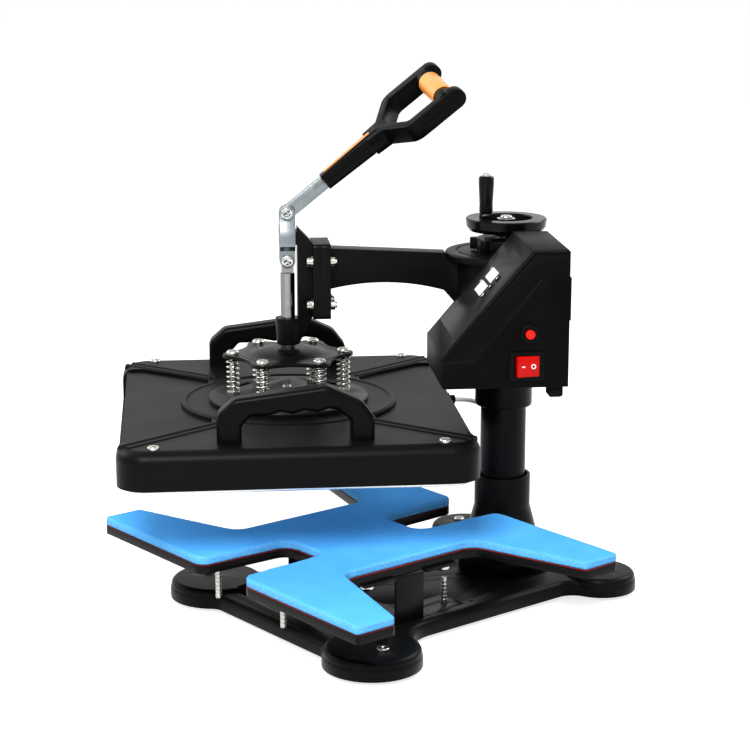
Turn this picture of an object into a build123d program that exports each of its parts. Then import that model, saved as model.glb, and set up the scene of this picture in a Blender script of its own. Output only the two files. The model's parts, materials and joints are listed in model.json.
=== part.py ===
"""Shoe heat press: swing-away press on a post, with a wing-shaped foam pad under a heated platen.

All lengths are millimetres. The origin is on the post's axis, on the surface the press stands on.
The user stands on the -Y side, +X is the user's right, +Z is up. The pieces that swing with the arm
are drawn with the arm straight over the pad, along -Y, and then turned by ARM_SWING about the post.
"""
from build123d import *
from math import atan2, cos, degrees, hypot, pi, radians, sin, sqrt, tan
import os

os.makedirs("parts", exist_ok=True)

# Clearances
RUN = 0.05            # radial clearance of a shaft in its hole
FIT = 0.02            # radial clearance of a piece seated in its hole
AIR = 0.3             # gap between pieces that move past each other

# Screws
M5_R = 2.5
M6_R = 3.0
SMALL_HEAD = (5.0, 3.0)                # radius and height of an M5 pan head
CORNER_HEAD = (6.0, 2.8)               # the same on the platen's corner screws

# Base casting
FOOT_H = 4.0
FOOT_R = 19.0
TRAY_Z = 10.0         # top of the tray floor
BEAM_TOP = 19.0
LOBE_TOP = 23.0
SIDE_X = 105.0        # half width over the side beams
FRONT_Y = -309.0
REAR_Y = 66.0
FRONT_LOBE = (128.0, -282.0, 48.0)     # x, y, radius
REAR_LOBE = (106.0, 42.0, 38.0)
FRONT_FOOT_X = 144.0
REAR_FOOT = (117.0, 43.0)
TRAY_FRONT_X = 91.0
TRAY_REAR_X = 70.0
TRAY_FRONT_Y = -287.0
TRAY_TAPER_Y = (-165.0, -48.0)         # where the side beams start and stop getting wider
TRAY_REAR_Y = 49.0

# Post
TUBE_R = 24.0
TUBE_WALL = 3.5
TUBE_TOP = 330.0
COLLAR_R = 29.5
COLLAR_TOP = 112.0
COLLAR_LIP = 10.0
FLANGE_R = 46.0
FLANGE_TOP = 25.0
BELL_TOP = 78.0
POST_BOLT_PCD_R = 36.0
PLUG_LEN = 26.0
SPINDLE_R = 7.0

# Shoe pad, a wing-shaped plate with a foam sheet on it
PAD_Y = -202.0        # centre of the pad in front of the post
PAD_TOP = 84.0
FOAM_T = 9.0
FILM_T = 0.7
PLATE_T = 8.3
PAD_HALF_X = 210.0
PAD_HALF_Y = 163.0
TIP_WIDTH = 43.0      # width of each wing's outer end
WAIST_X = 86.0
WAIST_Y = 83.0
NOTCH_MOUTH = 34.0    # half width of the front and rear notches at the edge
NOTCH_INNER = 30.0
NOTCH_END_Y = 60.0

# Bracket that carries the pad
SHEET_T = 3.0
BRIDGE_HALF_X = 88.0
BRIDGE_TOP_HALF_X = BRIDGE_HALF_X + 2
BRIDGE_TOP_HALF_Y = 58.0
PAD_BOLT_INSET = (9.0, 9.5)            # from the ends of the bracket's top
LEG_HALF_Y = 17.5
EAR_INNER_X = 41.0
EAR_OUTER_X = 79.0
EAR_HALF_Y = 82.0
EAR_HOLE = (61.0, 67.5, 3.3)           # x, y from the pad's centre, radius
STUD_TOP = 40.0
STUD_R = 2.9
STUD_DEPTH = 3.8      # how deep the studs stand in the tray's floor
PIN_DEPTH = 4.8       # how deep the pins stand in the pad's plate
PIN_X = 54.0
PIN_Y = -331.0
PIN_END_Z = 31.0

# Arm and its hub
REACH = 227.0         # from the post's axis to the plunger's axis
HEAD_DEPTH = 43.0     # from the plunger's axis to the back of the arm's flange
ARM_SWING = -33.3     # where the arm stands, in degrees from straight over the pad
SLEEVE_R = 30.0
SLEEVE_BOTTOM = 188.0
HUB_BOTTOM = 280.0
HUB_TOP = 345.0
HUB_R = 53.0
CAP_R = 63.0
CAP_TOP = 352.0
SHOULDER_R = 40.0
SHOULDER_T = 7.0
NECK_R = 22.0
NECK_TOP = 366.0
LOCK_R = 31.0
LOCK_LOBE_R = 5.5
LOCK_LOBES = 7
ARM_HALF_W = 11.0
ARM_END = REACH - HEAD_DEPTH
FLANGE_T = 9.0
FLANGE_HALF_W = 25.0
FLANGE_Z = (287.0, 365.0)
FLANGE_HOLE = (17.0, 14.0, 19.0, 3.3)  # half spacing, up from the bottom, down from the top, radius
WASHER = (6.5, 1.4)                    # radius and thickness
CAP_HEAD = (5.0, 4.6)
BOX_SCREW = (14.0, 15.0)               # half spacing along Y and along Z
PAD_EDGE = 8.0        # from the box's screws to the edge of the hub's pad

# Handwheel
WHEEL_R = 42.0
WHEEL_HOLE_R = 27.0
WHEEL_Z = (373.4, 386.5)
WHEEL_BOSS_R = 13.0
WHEEL_EDGE = 1.2
CRANK_R = 34.0
CRANK_ANGLE = 209.0
GRIP_LEN = 38.6

# Head: bracket, toggle and plunger
PLUNGER_R = 7.5
FULCRUM_Z = 369.5
CRANK_ARM = 25.0      # from the fulcrum to the link's upper pivot
LINK_LEN = 49.0
EAR_R = 7.0
FORK_GAP = 4.4        # half the slot between the bracket's ears
BAR_HALF_T = 3.9      # half the thickness of the lever bar and of the plunger's tongue
WEB_HALF_W = 8.8
WEB_FRONT = 10.0      # from the plunger's axis to the web
WEB_RISE = 15.5       # how far the web climbs above the flange
BARREL_R = 13.0
BARREL_Z = (258.0, 285.5)
BUSH_R = 9.5
LINK_T = 2.8
LINK_GAP = 0.4
EAR_GAP = 0.5
LINK_HEAD = (6.4, 3.0, 1.8)            # radius, height and rounding of the link's screws
LINK_R = 8.0
PIVOT_R = 4.0
SHOULDER_DROP = 13.0  # from the link's lower pivot to the plunger's shoulder, to clear the link

# Lever
LEVER_ANGLE = 38.8    # above the horizontal, leaning to the rear
BAR_W = 14.0
SHAFT_FROM = 50.0
SHAFT_TO = 124.0
SHAFT_W = 20.0
SHAFT_H = (17.0, 21.0)                 # height at the front and at the fork
LOOP_END = 215.0
LOOP_HALF_W = 47.0
LOOP_ARM_W = 11.0
LOOP_T = 20.0
LOOP_ROLL = 16.0
FORK_LEN = 26.0
GRIP_BAR_R = 11.0
GRIP_BAR_INSET = 18.0                  # from the loop's end to the axis of its cross bar
INSERT_HALF_X = 24.0
INSERT_T = 1.5
INLAY_HALF_W = (2.6, 5.6)
INLAY_RISE = 0.7
GROOVE = 0.7

# Platen
COVER_HALF_X = 204.0
COVER_HALF_Y = 175.5
COVER_TOP = 199.0
COVER_BOTTOM = 161.0
COVER_WALL = 3.0
COVER_CORNER_R = 30.0
COVER_EDGE_R = 12.0
PANEL_RECESS = 5.0    # how far the front and rear walls are drawn in
PANEL_DROP = 3.0      # how far the top is sunk between the ribs
HEATER_BOTTOM = 156.0
HEATER_INSET = 9.0
HEATER_T = 11.0
DISC_R = 83.0
DISC_T = 4.5
SPIDER_TOP = 248.0
SPIDER_T = 3.5
SPIDER_LOBE_R = 10.0
SPIDER_SCALLOP = (40.0, 53.0)          # radius, and how near to the plunger's axis it comes
BOLT_CIRCLE_R = 57.5
SPRING_SEAT_T = 4.5
SPRING_R = 6.1        # to the centre of the wire
SPRING_WIRE = 2.2
SPRING_TURNS = 6.5
SPRING_BOLT_R = 3.0
HANDLE_INSET = 39.0
HANDLE_X = COVER_HALF_X - HANDLE_INSET
HANDLE_T = 22.0
HANDLE_LEGS = (-67.0, 61.0)            # where the legs stand along Y
HANDLE_OUTER = [(-79.0, 0.0), (-79.0, 28.0), (-62.0, 43.0), (28.0, 54.0), (60.0, 39.0), (73.0, 22.0),
                (73.0, 0.0)]
HANDLE_INNER = [(50.0, 0.0), (50.0, 19.0), (38.0, 30.0), (28.0, 31.5), (18.0, 28.0), (6.0, 30.5),
                (-6.0, 27.0), (-18.0, 29.5), (-30.0, 26.0), (-46.0, 26.0), (-55.0, 16.0), (-55.0, 0.0)]
RING_R = DISC_R + 25
RIB_R = 4.2
RIB_SINK = 2.9        # how far below the cover's top the ribs' axes lie
RIB_GAP = 5.2         # half the distance between the two ribs of a pair
RIB_INSET = (26.0, 8.0)
RIB_START = (100.0, 76.0)
SCREW_INSET = (17.0, 36.0)
DISC_SCREW_R = 30.0   # radius of the circle of the disc's screws

ROD_R = 4.0           # heating element
ELEMENT_ROWS = 5
ELEMENT_INSET = (74.0, 80.0)
WOOL_INSET = (26.0, 50.0)
LEAD_R = 2.5
LEAD_X = -38.5
LEAD_Z = 184.0
GLAND_OUT = 10.0      # how far the lead's gland stands out of the cover

# Control box
BOX_X = (56.0, 176.0)
BOX_FRONT = -89.0
BOX_REAR = 34.0
BOX_BOTTOM = 247.0
BOX_LIP_TOP = 278.0
BOX_TOP = 380.5
BOX_RIDGE_Y = -2.0
BOX_WALL = 2.5
COVER_PLATE_T = 4.0
FIELD_T = 1.0         # how far the side cover's field stands out
FIELD_Y = (-58.0, 6.0)
FIELD_TOP = 353.5
SEAM_INSET = (4.0, 5.0)
LOUVRE = (6, 5.5, 2.2)                 # how many, spacing and height
RELAY = (42.0, 48.0, 24.0)
RELAY_AT = (91.0, -16.0)
TERMINALS = (32.0, 18.0, 14.0)
TERMINALS_AT = (134.0, 9.0)
BOARD = (80.0, 74.0, 1.6)
BOARD_POST = (36.0, 33.0)
GLAND = (160.0, 23.0)
GLAND_R = 5.5
CORD_R = 3.2          # bore for the mains lead


def ride(shape):
    "Turn a piece from straight over the pad to where the arm stands."
    return Rot(0, 0, ARM_SWING) * shape


def save(name, shape):
    export_step(shape, f"parts/{name}.step")


def group(shapes):
    return Compound(children=list(shapes))


def rod(radius, z0, z1, x=0.0, y=0.0):
    "An upright cylinder between two heights."
    return Pos(x, y, (z0 + z1) / 2) * Cylinder(radius, z1 - z0)


def slab(x0, x1, y0, y1, z0, z1):
    "A block between two corners."
    return Pos((x0 + x1) / 2, (y0 + y1) / 2, (z0 + z1) / 2) * Box(x1 - x0, y1 - y0, z1 - z0)


def cross_rod(radius, x0, x1, y, z):
    "A cylinder along X."
    return Pos((x0 + x1) / 2, y, z) * Rot(0, 90, 0) * Cylinder(radius, x1 - x0)


def long_rod(radius, y0, y1, x, z):
    "A cylinder along Y."
    return Pos(x, (y0 + y1) / 2, z) * Rot(90, 0, 0) * Cylinder(radius, y1 - y0)


def lathe(points):
    "Turn an outline given as (radius, height) about Z."
    face = make_face(Polyline(*[(r, 0, z) for r, z in points], close=True))
    return revolve(face, Axis.Z)


def side_plate(points, x0, x1):
    "An outline given as (y, z), from x0 to x1."
    face = make_face(Polyline(*[(x0, y, z) for y, z in points], close=True))
    return extrude(face, amount=x1 - x0, dir=(1, 0, 0))


def pan_head(radius, height, z, x=0.0, y=0.0):
    "A domed screw head that stands on height z."
    head = rod(radius, z, z + height, x, y)
    return fillet(head.edges().group_by(Axis.Z)[-1], height * 0.6)


def hexagon(across, z0, z1, x=0.0, y=0.0):
    return Pos(x, y, z0) * extrude(RegularPolygon(across / 2, 6, major_radius=False), z1 - z0)


# Base

def corners(sketch, x, y, reach):
    "The corners of a sketch that lie within reach of (|x|, y)."
    return sketch.vertices().filter_by(lambda v: hypot(abs(v.X) - x, v.Y - y) < reach)


def base_outline():
    core = Pos(0, (FRONT_Y + REAR_Y) / 2) * Rectangle(2 * SIDE_X, REAR_Y - FRONT_Y)
    for x, y, r in (FRONT_LOBE, REAR_LOBE):
        core += Pos(x, y) * Circle(r)
        core += Pos(-x, y) * Circle(r)
    fx, fy, fr = FRONT_LOBE
    rx, ry, rr = REAR_LOBE
    waist_front = fy + sqrt(fr**2 - (fx - SIDE_X)**2)
    waist_rear = ry - sqrt(rr**2 - (rx - SIDE_X)**2)
    front_cut = fx - sqrt(fr**2 - (fy - FRONT_Y)**2)
    rear_cut = rx - sqrt(rr**2 - (ry - REAR_Y)**2)
    core = fillet(corners(core, SIDE_X, waist_front, 1.0), 45)
    core = fillet(corners(core, SIDE_X, waist_rear, 1.0), 22)
    core = fillet(corners(core, front_cut, FRONT_Y, 1.0), 14)
    core = fillet(corners(core, rear_cut, REAR_Y, 1.0), 12)
    return core


def foot_points():
    points = []
    for side in (-1, 1):
        points.append((side * FRONT_FOOT_X, FRONT_LOBE[1]))
        points.append((side * REAR_FOOT[0], REAR_FOOT[1]))
    return points


def post_bolt_points():
    turns = [radians(a) for a in (45, 135, 225, 315)]
    return [(POST_BOLT_PCD_R * cos(a), POST_BOLT_PCD_R * sin(a)) for a in turns]


def base_frame():
    body = Pos(0, 0, FOOT_H) * extrude(base_outline(), BEAM_TOP - FOOT_H)
    body = fillet(body.edges().group_by(Axis.Z)[-1], 7)
    tray = make_face(Polyline(
        (-TRAY_FRONT_X, TRAY_FRONT_Y), (TRAY_FRONT_X, TRAY_FRONT_Y),
        (TRAY_FRONT_X, TRAY_TAPER_Y[0]), (TRAY_REAR_X, TRAY_TAPER_Y[1]),
        (TRAY_REAR_X, TRAY_REAR_Y), (-TRAY_REAR_X, TRAY_REAR_Y),
        (-TRAY_REAR_X, TRAY_TAPER_Y[1]), (-TRAY_FRONT_X, TRAY_TAPER_Y[0]), close=True))
    tray = fillet(tray.vertices(), 10)
    body -= Pos(0, 0, TRAY_Z) * extrude(tray, BEAM_TOP, taper=-12)
    for x, y, r in (FRONT_LOBE, REAR_LOBE):
        for side in (-1, 1):
            lobe = rod(r - 1, FOOT_H, LOBE_TOP, side * x, y)
            body += fillet(lobe.edges().group_by(Axis.Z)[-1], 6)
    body -= slab(-BRIDGE_HALF_X - 1, BRIDGE_HALF_X + 1, PAD_Y - EAR_HALF_Y - 1, PAD_Y + EAR_HALF_Y + 1,
                 TRAY_Z, LOBE_TOP + 1)
    for x, y in foot_points():
        body -= rod(M6_R + FIT, 0, LOBE_TOP + 1, x, y)
    for x, y in post_bolt_points():
        body -= rod(M6_R + FIT, 0, TRAY_Z + 1, x, y)
        body -= rod(6.0 + FIT, FOOT_H - 1, FOOT_H + 3.5, x, y)
    hx, hy, hr = EAR_HOLE
    for x, y in ((-hx, hy), (hx, hy), (hx, -hy)):
        body -= rod(STUD_R + FIT, TRAY_Z - STUD_DEPTH, TRAY_Z + 1, x, PAD_Y + y)
    return body


def rubber_feet():
    feet = []
    for x, y in foot_points():
        foot = rod(FOOT_R, 0, FOOT_H, x, y)
        foot = chamfer(foot.edges().group_by(Axis.Z)[0], 1)
        feet.append(foot - rod(M6_R + FIT, 1.5, FOOT_H + 1, x, y))
    return group(feet)


def base_screws():
    "The screws that hold the feet, and the bolts that hold the post from below."
    screws = []
    for x, y in foot_points():
        screws.append(pan_head(6.0, 2.6, LOBE_TOP, x, y) + rod(M6_R, 1.6, LOBE_TOP + 1, x, y))
    for x, y in post_bolt_points():
        head = rod(5.8, FOOT_H + 0.3, FOOT_H + 3.5, x, y)
        screws.append(head + rod(M6_R, FOOT_H + 3, TRAY_Z + 10, x, y))
    return group(screws)


# Post

def post_foot():
    profile = [(0, TRAY_Z), (FLANGE_R, TRAY_Z), (FLANGE_R, FLANGE_TOP - 2), (FLANGE_R - 2, FLANGE_TOP),
               (41.5, 36), (37, 50), (33, 65), (COLLAR_R, BELL_TOP), (COLLAR_R, COLLAR_TOP),
               (TUBE_R + 2.5, COLLAR_TOP), (TUBE_R + 2.5, COLLAR_TOP - COLLAR_LIP),
               (TUBE_R + FIT, COLLAR_TOP - COLLAR_LIP), (TUBE_R + FIT, TRAY_Z + 6), (0, TRAY_Z + 6)]
    body = lathe(profile)
    for x, y in post_bolt_points():
        body -= rod(M6_R + FIT, TRAY_Z - 1, TRAY_Z + 11, x, y)
    return body


def post_tube():
    return rod(TUBE_R, TRAY_Z + 6, TUBE_TOP) - rod(TUBE_R - TUBE_WALL, TRAY_Z + 5, TUBE_TOP + 1)


def post_plug():
    body = rod(TUBE_R - TUBE_WALL - FIT, TUBE_TOP - PLUG_LEN, TUBE_TOP)
    body -= rod(SPINDLE_R + RUN, TUBE_TOP - PLUG_LEN - 1, TUBE_TOP + 1)
    return body - rod(13.0, TUBE_TOP - 8, TUBE_TOP + 1)


# Pad and its bracket

def wing_outline(inset=0.0):
    "The pad's outline about its own centre."
    x1 = PAD_HALF_X - inset
    y1 = PAD_HALF_Y - inset
    y_tip = PAD_HALF_Y - TIP_WIDTH + inset
    wx = WAIST_X - inset
    wy = WAIST_Y + inset
    m = NOTCH_MOUTH + inset
    n = NOTCH_INNER + inset
    e = NOTCH_END_Y - inset
    quarter = [(n, -e), (m, -y1), (x1, -y1), (x1, -y_tip), (wx, -wy)]
    right = quarter + [(x, -y) for x, y in reversed(quarter)]
    left = [(-x, -y) for x, y in right]
    outline = make_face(Polyline(*right, *left, close=True))
    outline = fillet(corners(outline, m, -y1, 1) + corners(outline, m, y1, 1), 12)
    outline = fillet(corners(outline, wx, -wy, 1) + corners(outline, wx, wy, 1), 18)
    outline = fillet(corners(outline, n, -e, 1) + corners(outline, n, e, 1), 16)
    tips = [(x1, y1), (x1, -y1), (x1, y_tip), (x1, -y_tip)]
    for x, y in tips:
        outline = fillet(corners(outline, x, y, 1), 4)
    return outline


PAD_PLATE_TOP = PAD_TOP - FOAM_T - FILM_T
PAD_PLATE_BOTTOM = PAD_PLATE_TOP - PLATE_T
PAD_BOLT_X = BRIDGE_TOP_HALF_X - PAD_BOLT_INSET[0]
PAD_BOLT_Y = BRIDGE_TOP_HALF_Y - PAD_BOLT_INSET[1]
PAD_BOLTS = [(sx * PAD_BOLT_X, PAD_Y + sy * PAD_BOLT_Y) for sx in (-1, 1) for sy in (-1, 1)]


def pad_layer(z0, thickness, inset=0.0):
    return Pos(0, PAD_Y, z0) * extrude(wing_outline(inset), thickness)


def pad_plate():
    body = pad_layer(PAD_PLATE_BOTTOM, PLATE_T)
    for x, y in PAD_BOLTS:
        body -= rod(M6_R + FIT, PAD_PLATE_BOTTOM - 1, PAD_PLATE_TOP - 2, x, y)
    for x in (-PIN_X, PIN_X):
        body -= rod(STUD_R + FIT, PAD_PLATE_BOTTOM - 1, PAD_PLATE_BOTTOM + PIN_DEPTH, x, PIN_Y)
    return body


def mount_plate():
    bars = slab(-BRIDGE_HALF_X, BRIDGE_HALF_X, PAD_Y - LEG_HALF_Y, PAD_Y + LEG_HALF_Y,
                TRAY_Z, TRAY_Z + SHEET_T)
    for side in (-1, 1):
        x0, x1 = sorted((side * EAR_INNER_X, side * EAR_OUTER_X))
        bars += slab(x0, x1, PAD_Y - EAR_HALF_Y, PAD_Y + EAR_HALF_Y, TRAY_Z, TRAY_Z + SHEET_T)
    hx, hy, hr = EAR_HOLE
    for x in (-hx, hx):
        for y in (-hy, hy):
            bars -= rod(hr, TRAY_Z - 1, TRAY_Z + SHEET_T + 1, x, PAD_Y + y)
    return bars


def bridge_bracket():
    z0 = TRAY_Z + SHEET_T
    outer = slab(-BRIDGE_HALF_X, BRIDGE_HALF_X, PAD_Y - LEG_HALF_Y, PAD_Y + LEG_HALF_Y, z0, PAD_PLATE_BOTTOM)
    outer = fillet(outer.edges().filter_by(Axis.Y).group_by(Axis.Z)[-1], 4)
    inner_x = BRIDGE_HALF_X - SHEET_T
    body = outer - slab(-inner_x, inner_x, PAD_Y - LEG_HALF_Y - 1, PAD_Y + LEG_HALF_Y + 1,
                        z0 - 1, PAD_PLATE_BOTTOM - SHEET_T)
    top = slab(-BRIDGE_TOP_HALF_X, BRIDGE_TOP_HALF_X, PAD_Y - BRIDGE_TOP_HALF_Y, PAD_Y + BRIDGE_TOP_HALF_Y,
               PAD_PLATE_BOTTOM - SHEET_T, PAD_PLATE_BOTTOM)
    for side in (-1, 1):
        x0, x1 = sorted((side * (BRIDGE_HALF_X - 8), side * (BRIDGE_TOP_HALF_X + 1)))
        top -= slab(x0, x1, PAD_Y - LEG_HALF_Y - 2, PAD_Y + LEG_HALF_Y + 2,
                    PAD_PLATE_BOTTOM - SHEET_T - 1, PAD_PLATE_BOTTOM + 1)
    body += top
    for x, y in PAD_BOLTS:
        body -= rod(M6_R + FIT, PAD_PLATE_BOTTOM - SHEET_T - 1, PAD_PLATE_BOTTOM + 1, x, y)
    return body


def pad_bolts():
    "Studs from the pad's plate with domed nuts under the bracket."
    z = PAD_PLATE_BOTTOM - SHEET_T
    nut = mirror(pan_head(7.4, 5.2, 0), about=Plane.XY)
    return group(Pos(x, y, z) * nut + rod(M6_R, z - 1, PAD_PLATE_TOP - 3, x, y) for x, y in PAD_BOLTS)


def threaded_studs():
    "Studs in the two rear ears, a short screw in the front right one, and two pins under the pad."
    hx, hy, hr = EAR_HOLE
    low = TRAY_Z - STUD_DEPTH
    studs = [rod(STUD_R, low, STUD_TOP, x, PAD_Y + hy) for x in (-hx, hx)]
    head_z = TRAY_Z + SHEET_T
    screw = rod(STUD_R, low, head_z + 1, hx, PAD_Y - hy) + pan_head(5.0, 3.4, head_z, hx, PAD_Y - hy)
    pins = [rod(STUD_R, PIN_END_Z, PAD_PLATE_BOTTOM + PIN_DEPTH, x, PIN_Y) for x in (-PIN_X, PIN_X)]
    return group(studs + [screw] + pins)


# Lift sleeve, which slides on the post

def lift_sleeve():
    shoulder_top = HUB_BOTTOM
    bore, spindle = TUBE_R + RUN, SPINDLE_R + RUN
    body = lathe([(bore, SLEEVE_BOTTOM), (SLEEVE_R, SLEEVE_BOTTOM), (SLEEVE_R, shoulder_top - SHOULDER_T),
                  (SHOULDER_R, shoulder_top - SHOULDER_T), (SHOULDER_R, shoulder_top),
                  (SLEEVE_R, shoulder_top), (SLEEVE_R, CAP_TOP + 1.0), (NECK_R, CAP_TOP + 1.0), (NECK_R, NECK_TOP), (spindle, NECK_TOP),
                  (spindle, CAP_TOP - 0.5), (bore, CAP_TOP - 0.5)])
    return chamfer(body.edges().group_by(Axis.Z)[0].sort_by(SortBy.LENGTH)[-1], 1)


def lock_collar():
    z0 = CAP_TOP + 1.0 + AIR
    body = rod(LOCK_R, z0, NECK_TOP - 1)
    for i in range(LOCK_LOBES):
        a = 2 * pi * i / LOCK_LOBES
        body += rod(LOCK_LOBE_R, z0, NECK_TOP - 1, (LOCK_R + 1) * cos(a), (LOCK_R + 1) * sin(a))
    return body - rod(NECK_R + RUN, z0 - 1, NECK_TOP + 1)


# Handwheel

def handwheel():
    low, high = WHEEL_Z
    floor = low + 4
    body = lathe([(SPINDLE_R + FIT, low - 5), (WHEEL_BOSS_R, low - 5), (WHEEL_BOSS_R + 4, low - 1),
                  (WHEEL_HOLE_R, low - 0.5), (WHEEL_R - 4, low), (WHEEL_R - 1, floor),
                  (WHEEL_R, high - WHEEL_EDGE), (WHEEL_R - WHEEL_EDGE, high), (WHEEL_HOLE_R + 1, high),
                  (WHEEL_HOLE_R, high - WHEEL_EDGE), (WHEEL_HOLE_R - 1, floor), (WHEEL_BOSS_R, floor),
                  (WHEEL_BOSS_R - 1, low + 6), (SPINDLE_R + FIT, low + 6)])
    x, y = crank_point()
    return body - rod(M6_R + FIT, high - 9, high + 1, x, y)


def crank_point():
    return CRANK_R * cos(radians(CRANK_ANGLE)), CRANK_R * sin(radians(CRANK_ANGLE))


def wheel_spindle():
    body = rod(SPINDLE_R, TUBE_TOP - PLUG_LEN - 6, WHEEL_Z[0] + 8)
    return body + rod(11.5, CAP_TOP - 5.5, CAP_TOP - 0.5 - AIR)


def wheel_nut():
    z = WHEEL_Z[0] + 6
    body = hexagon(18, z, z + 6) + pan_head(6.5, 3, z + 6)
    return body - rod(SPINDLE_R + FIT, z - 1, WHEEL_Z[0] + 8)


def crank_pin():
    x, y = crank_point()
    top = WHEEL_Z[1] + AIR + GRIP_LEN
    return rod(M6_R, WHEEL_Z[1] - 8.9, top + 1, x, y) + pan_head(4.8, 2.8, top + AIR, x, y)


def crank_grip():
    x, y = crank_point()
    z0 = WHEEL_Z[1] + AIR
    body = lathe([(M6_R + RUN, z0), (6.4, z0), (7.2, z0 + 1.5), (7.0, z0 + 10), (8.0, z0 + 30),
                  (8.0, z0 + GRIP_LEN - 1.5), (6.5, z0 + GRIP_LEN), (M6_R + RUN, z0 + GRIP_LEN)])
    return Pos(x, y, 0) * body


# Arm

def flange_points():
    x, up, down, r = FLANGE_HOLE
    return [(sx * x, z) for sx in (-1, 1) for z in (FLANGE_Z[0] + up, FLANGE_Z[1] - down)]


def box_screw_points():
    middle = (HUB_BOTTOM + HUB_TOP) / 2
    return [(sy * BOX_SCREW[0], middle + sz * BOX_SCREW[1]) for sy in (-1, 1) for sz in (-1, 1)]


def arm_beam():
    "The beam from the hub to the flange, with its arched underside."
    low, high = FLANGE_Z
    hub_height = HUB_TOP - HUB_BOTTOM
    root = HUB_BOTTOM + 0.26 * hub_height
    inside = -0.75 * HUB_R
    tip = (0, -ARM_END, low + 0.45 * hub_height)
    knee = (0, -CAP_R - 3, HUB_BOTTOM + 0.51 * hub_height)
    crown = (0, -(ARM_END + CAP_R) / 2, HUB_BOTTOM + 0.65 * hub_height)
    outline = Polyline(tip, (0, -ARM_END, high - 0.1 * hub_height), (0, -CAP_R - 1, CAP_TOP),
                       (0, -CAP_R - 1, HUB_TOP), (0, inside, HUB_TOP), (0, inside, root),
                       (0, 1 - HUB_R, root), knee)
    arch = ThreePointArc(knee, crown, tip)
    return extrude(make_face(outline.edges() + [arch]), amount=ARM_HALF_W, dir=(1, 0, 0), both=True)


def arm_casting():
    low, high = FLANGE_Z
    hub = rod(HUB_R, HUB_BOTTOM, HUB_TOP)
    hub = fillet(hub.edges().group_by(Axis.Z)[0], 4)
    middle = (HUB_BOTTOM + HUB_TOP) / 2
    pad_y, pad_z = BOX_SCREW[0] + PAD_EDGE, BOX_SCREW[1] + PAD_EDGE
    pad = slab(0.75 * HUB_R, BOX_X[0], -pad_y, pad_y, middle - pad_z, middle + pad_z)
    flange = slab(-FLANGE_HALF_W, FLANGE_HALF_W, -ARM_END - FLANGE_T, -ARM_END, low, high)
    flange = fillet(flange.edges().filter_by(Axis.Y), 4)
    body = arm_beam() + hub + pad + flange
    body -= rod(SLEEVE_R + RUN, HUB_BOTTOM - 1, CAP_TOP + 1)
    for x, z in flange_points():
        body -= long_rod(FLANGE_HOLE[3], -ARM_END - FLANGE_T - 1, -ARM_END + 1, x, z)
    for y, z in box_screw_points():
        body -= cross_rod(M5_R + FIT, BOX_X[0] - 12, BOX_X[0] + 1, y, z)
    return body


def hub_cap():
    body = rod(CAP_R, HUB_TOP, CAP_TOP)
    body = fillet(body.edges().group_by(Axis.Z)[-1], 2.5)
    body -= rod(SLEEVE_R + AIR, HUB_TOP - 1, CAP_TOP + 1)
    groove = rod(0.825 * CAP_R, CAP_TOP - 1, CAP_TOP + 1) - rod(0.785 * CAP_R, CAP_TOP - 2, CAP_TOP + 2)
    flat = slab(BOX_X[0] - AIR, CAP_R + 1, -CAP_R, CAP_R, HUB_TOP - 1, CAP_TOP + 1)
    return body - groove - flat


def arm_bolts():
    "The bolts through the head's flange, and the screws that hold the control box."
    face = -ARM_END - 2 * FLANGE_T
    head_face = face - WASHER[1]
    bolts = []
    for x, z in flange_points():
        bolt = long_rod(M6_R, face - 2, -ARM_END + CAP_HEAD[1] + 2, x, z)
        bolt += long_rod(WASHER[0], head_face, face, x, z)
        bolt += long_rod(CAP_HEAD[0], head_face - CAP_HEAD[1], head_face, x, z)
        bolts.append(bolt + long_rod(CAP_HEAD[0], -ARM_END, -ARM_END + CAP_HEAD[1], x, z))
    inner = BOX_X[0] + BOX_WALL
    radius, height = SMALL_HEAD
    for y, z in box_screw_points():
        bolt = cross_rod(M5_R, BOX_X[0] - 10, inner + 1, y, z)
        bolts.append(bolt + cross_rod(radius, inner, inner + height, y, z))
    return group(bolts)


# Head bracket with its fulcrum ears and plunger guide

def head_bracket():
    low, high = FLANGE_Z
    front = -ARM_END - 2 * FLANGE_T
    barrel_low, barrel_high = BARREL_Z
    flange = slab(-FLANGE_HALF_W, FLANGE_HALF_W, front, front + FLANGE_T, low, high)
    flange = fillet(flange.edges().filter_by(Axis.Y), 4)
    web_front = -REACH + WEB_FRONT
    web = side_plate([(front, high), (web_front, high + WEB_RISE), (web_front, barrel_high - 3),
                      (-REACH + 2, barrel_high - 3), (-REACH + 2, barrel_low + 1),
                      (-REACH + BARREL_R - 2, barrel_low + 1), (-REACH + BARREL_R + 4, barrel_low + BARREL_R),
                      (front, low)], -WEB_HALF_W, WEB_HALF_W)
    ear = cross_rod(EAR_R, -WEB_HALF_W, WEB_HALF_W, -REACH, FULCRUM_Z)
    ear += slab(-WEB_HALF_W, WEB_HALF_W, -REACH, web_front + 1, FULCRUM_Z - EAR_R, FULCRUM_Z + EAR_R)
    barrel = Pos(0, -REACH, sum(BARREL_Z) / 2) * Cone(BARREL_R - 1.5, BARREL_R, barrel_high - barrel_low)
    body = flange + web + ear + barrel
    body -= rod(BUSH_R + FIT, barrel_low - 1, barrel_high + 1, 0, -REACH)
    body -= slab(-FORK_GAP, FORK_GAP, -REACH - 12, web_front - 1.5, FULCRUM_Z - 12, FULCRUM_Z + 14)
    body -= cross_rod(PIVOT_R + FIT, -WEB_HALF_W - 1, WEB_HALF_W + 1, -REACH, FULCRUM_Z)
    for x, z in flange_points():
        body -= long_rod(FLANGE_HOLE[3], front - 1, front + FLANGE_T + 1, x, z)
    return body


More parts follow.
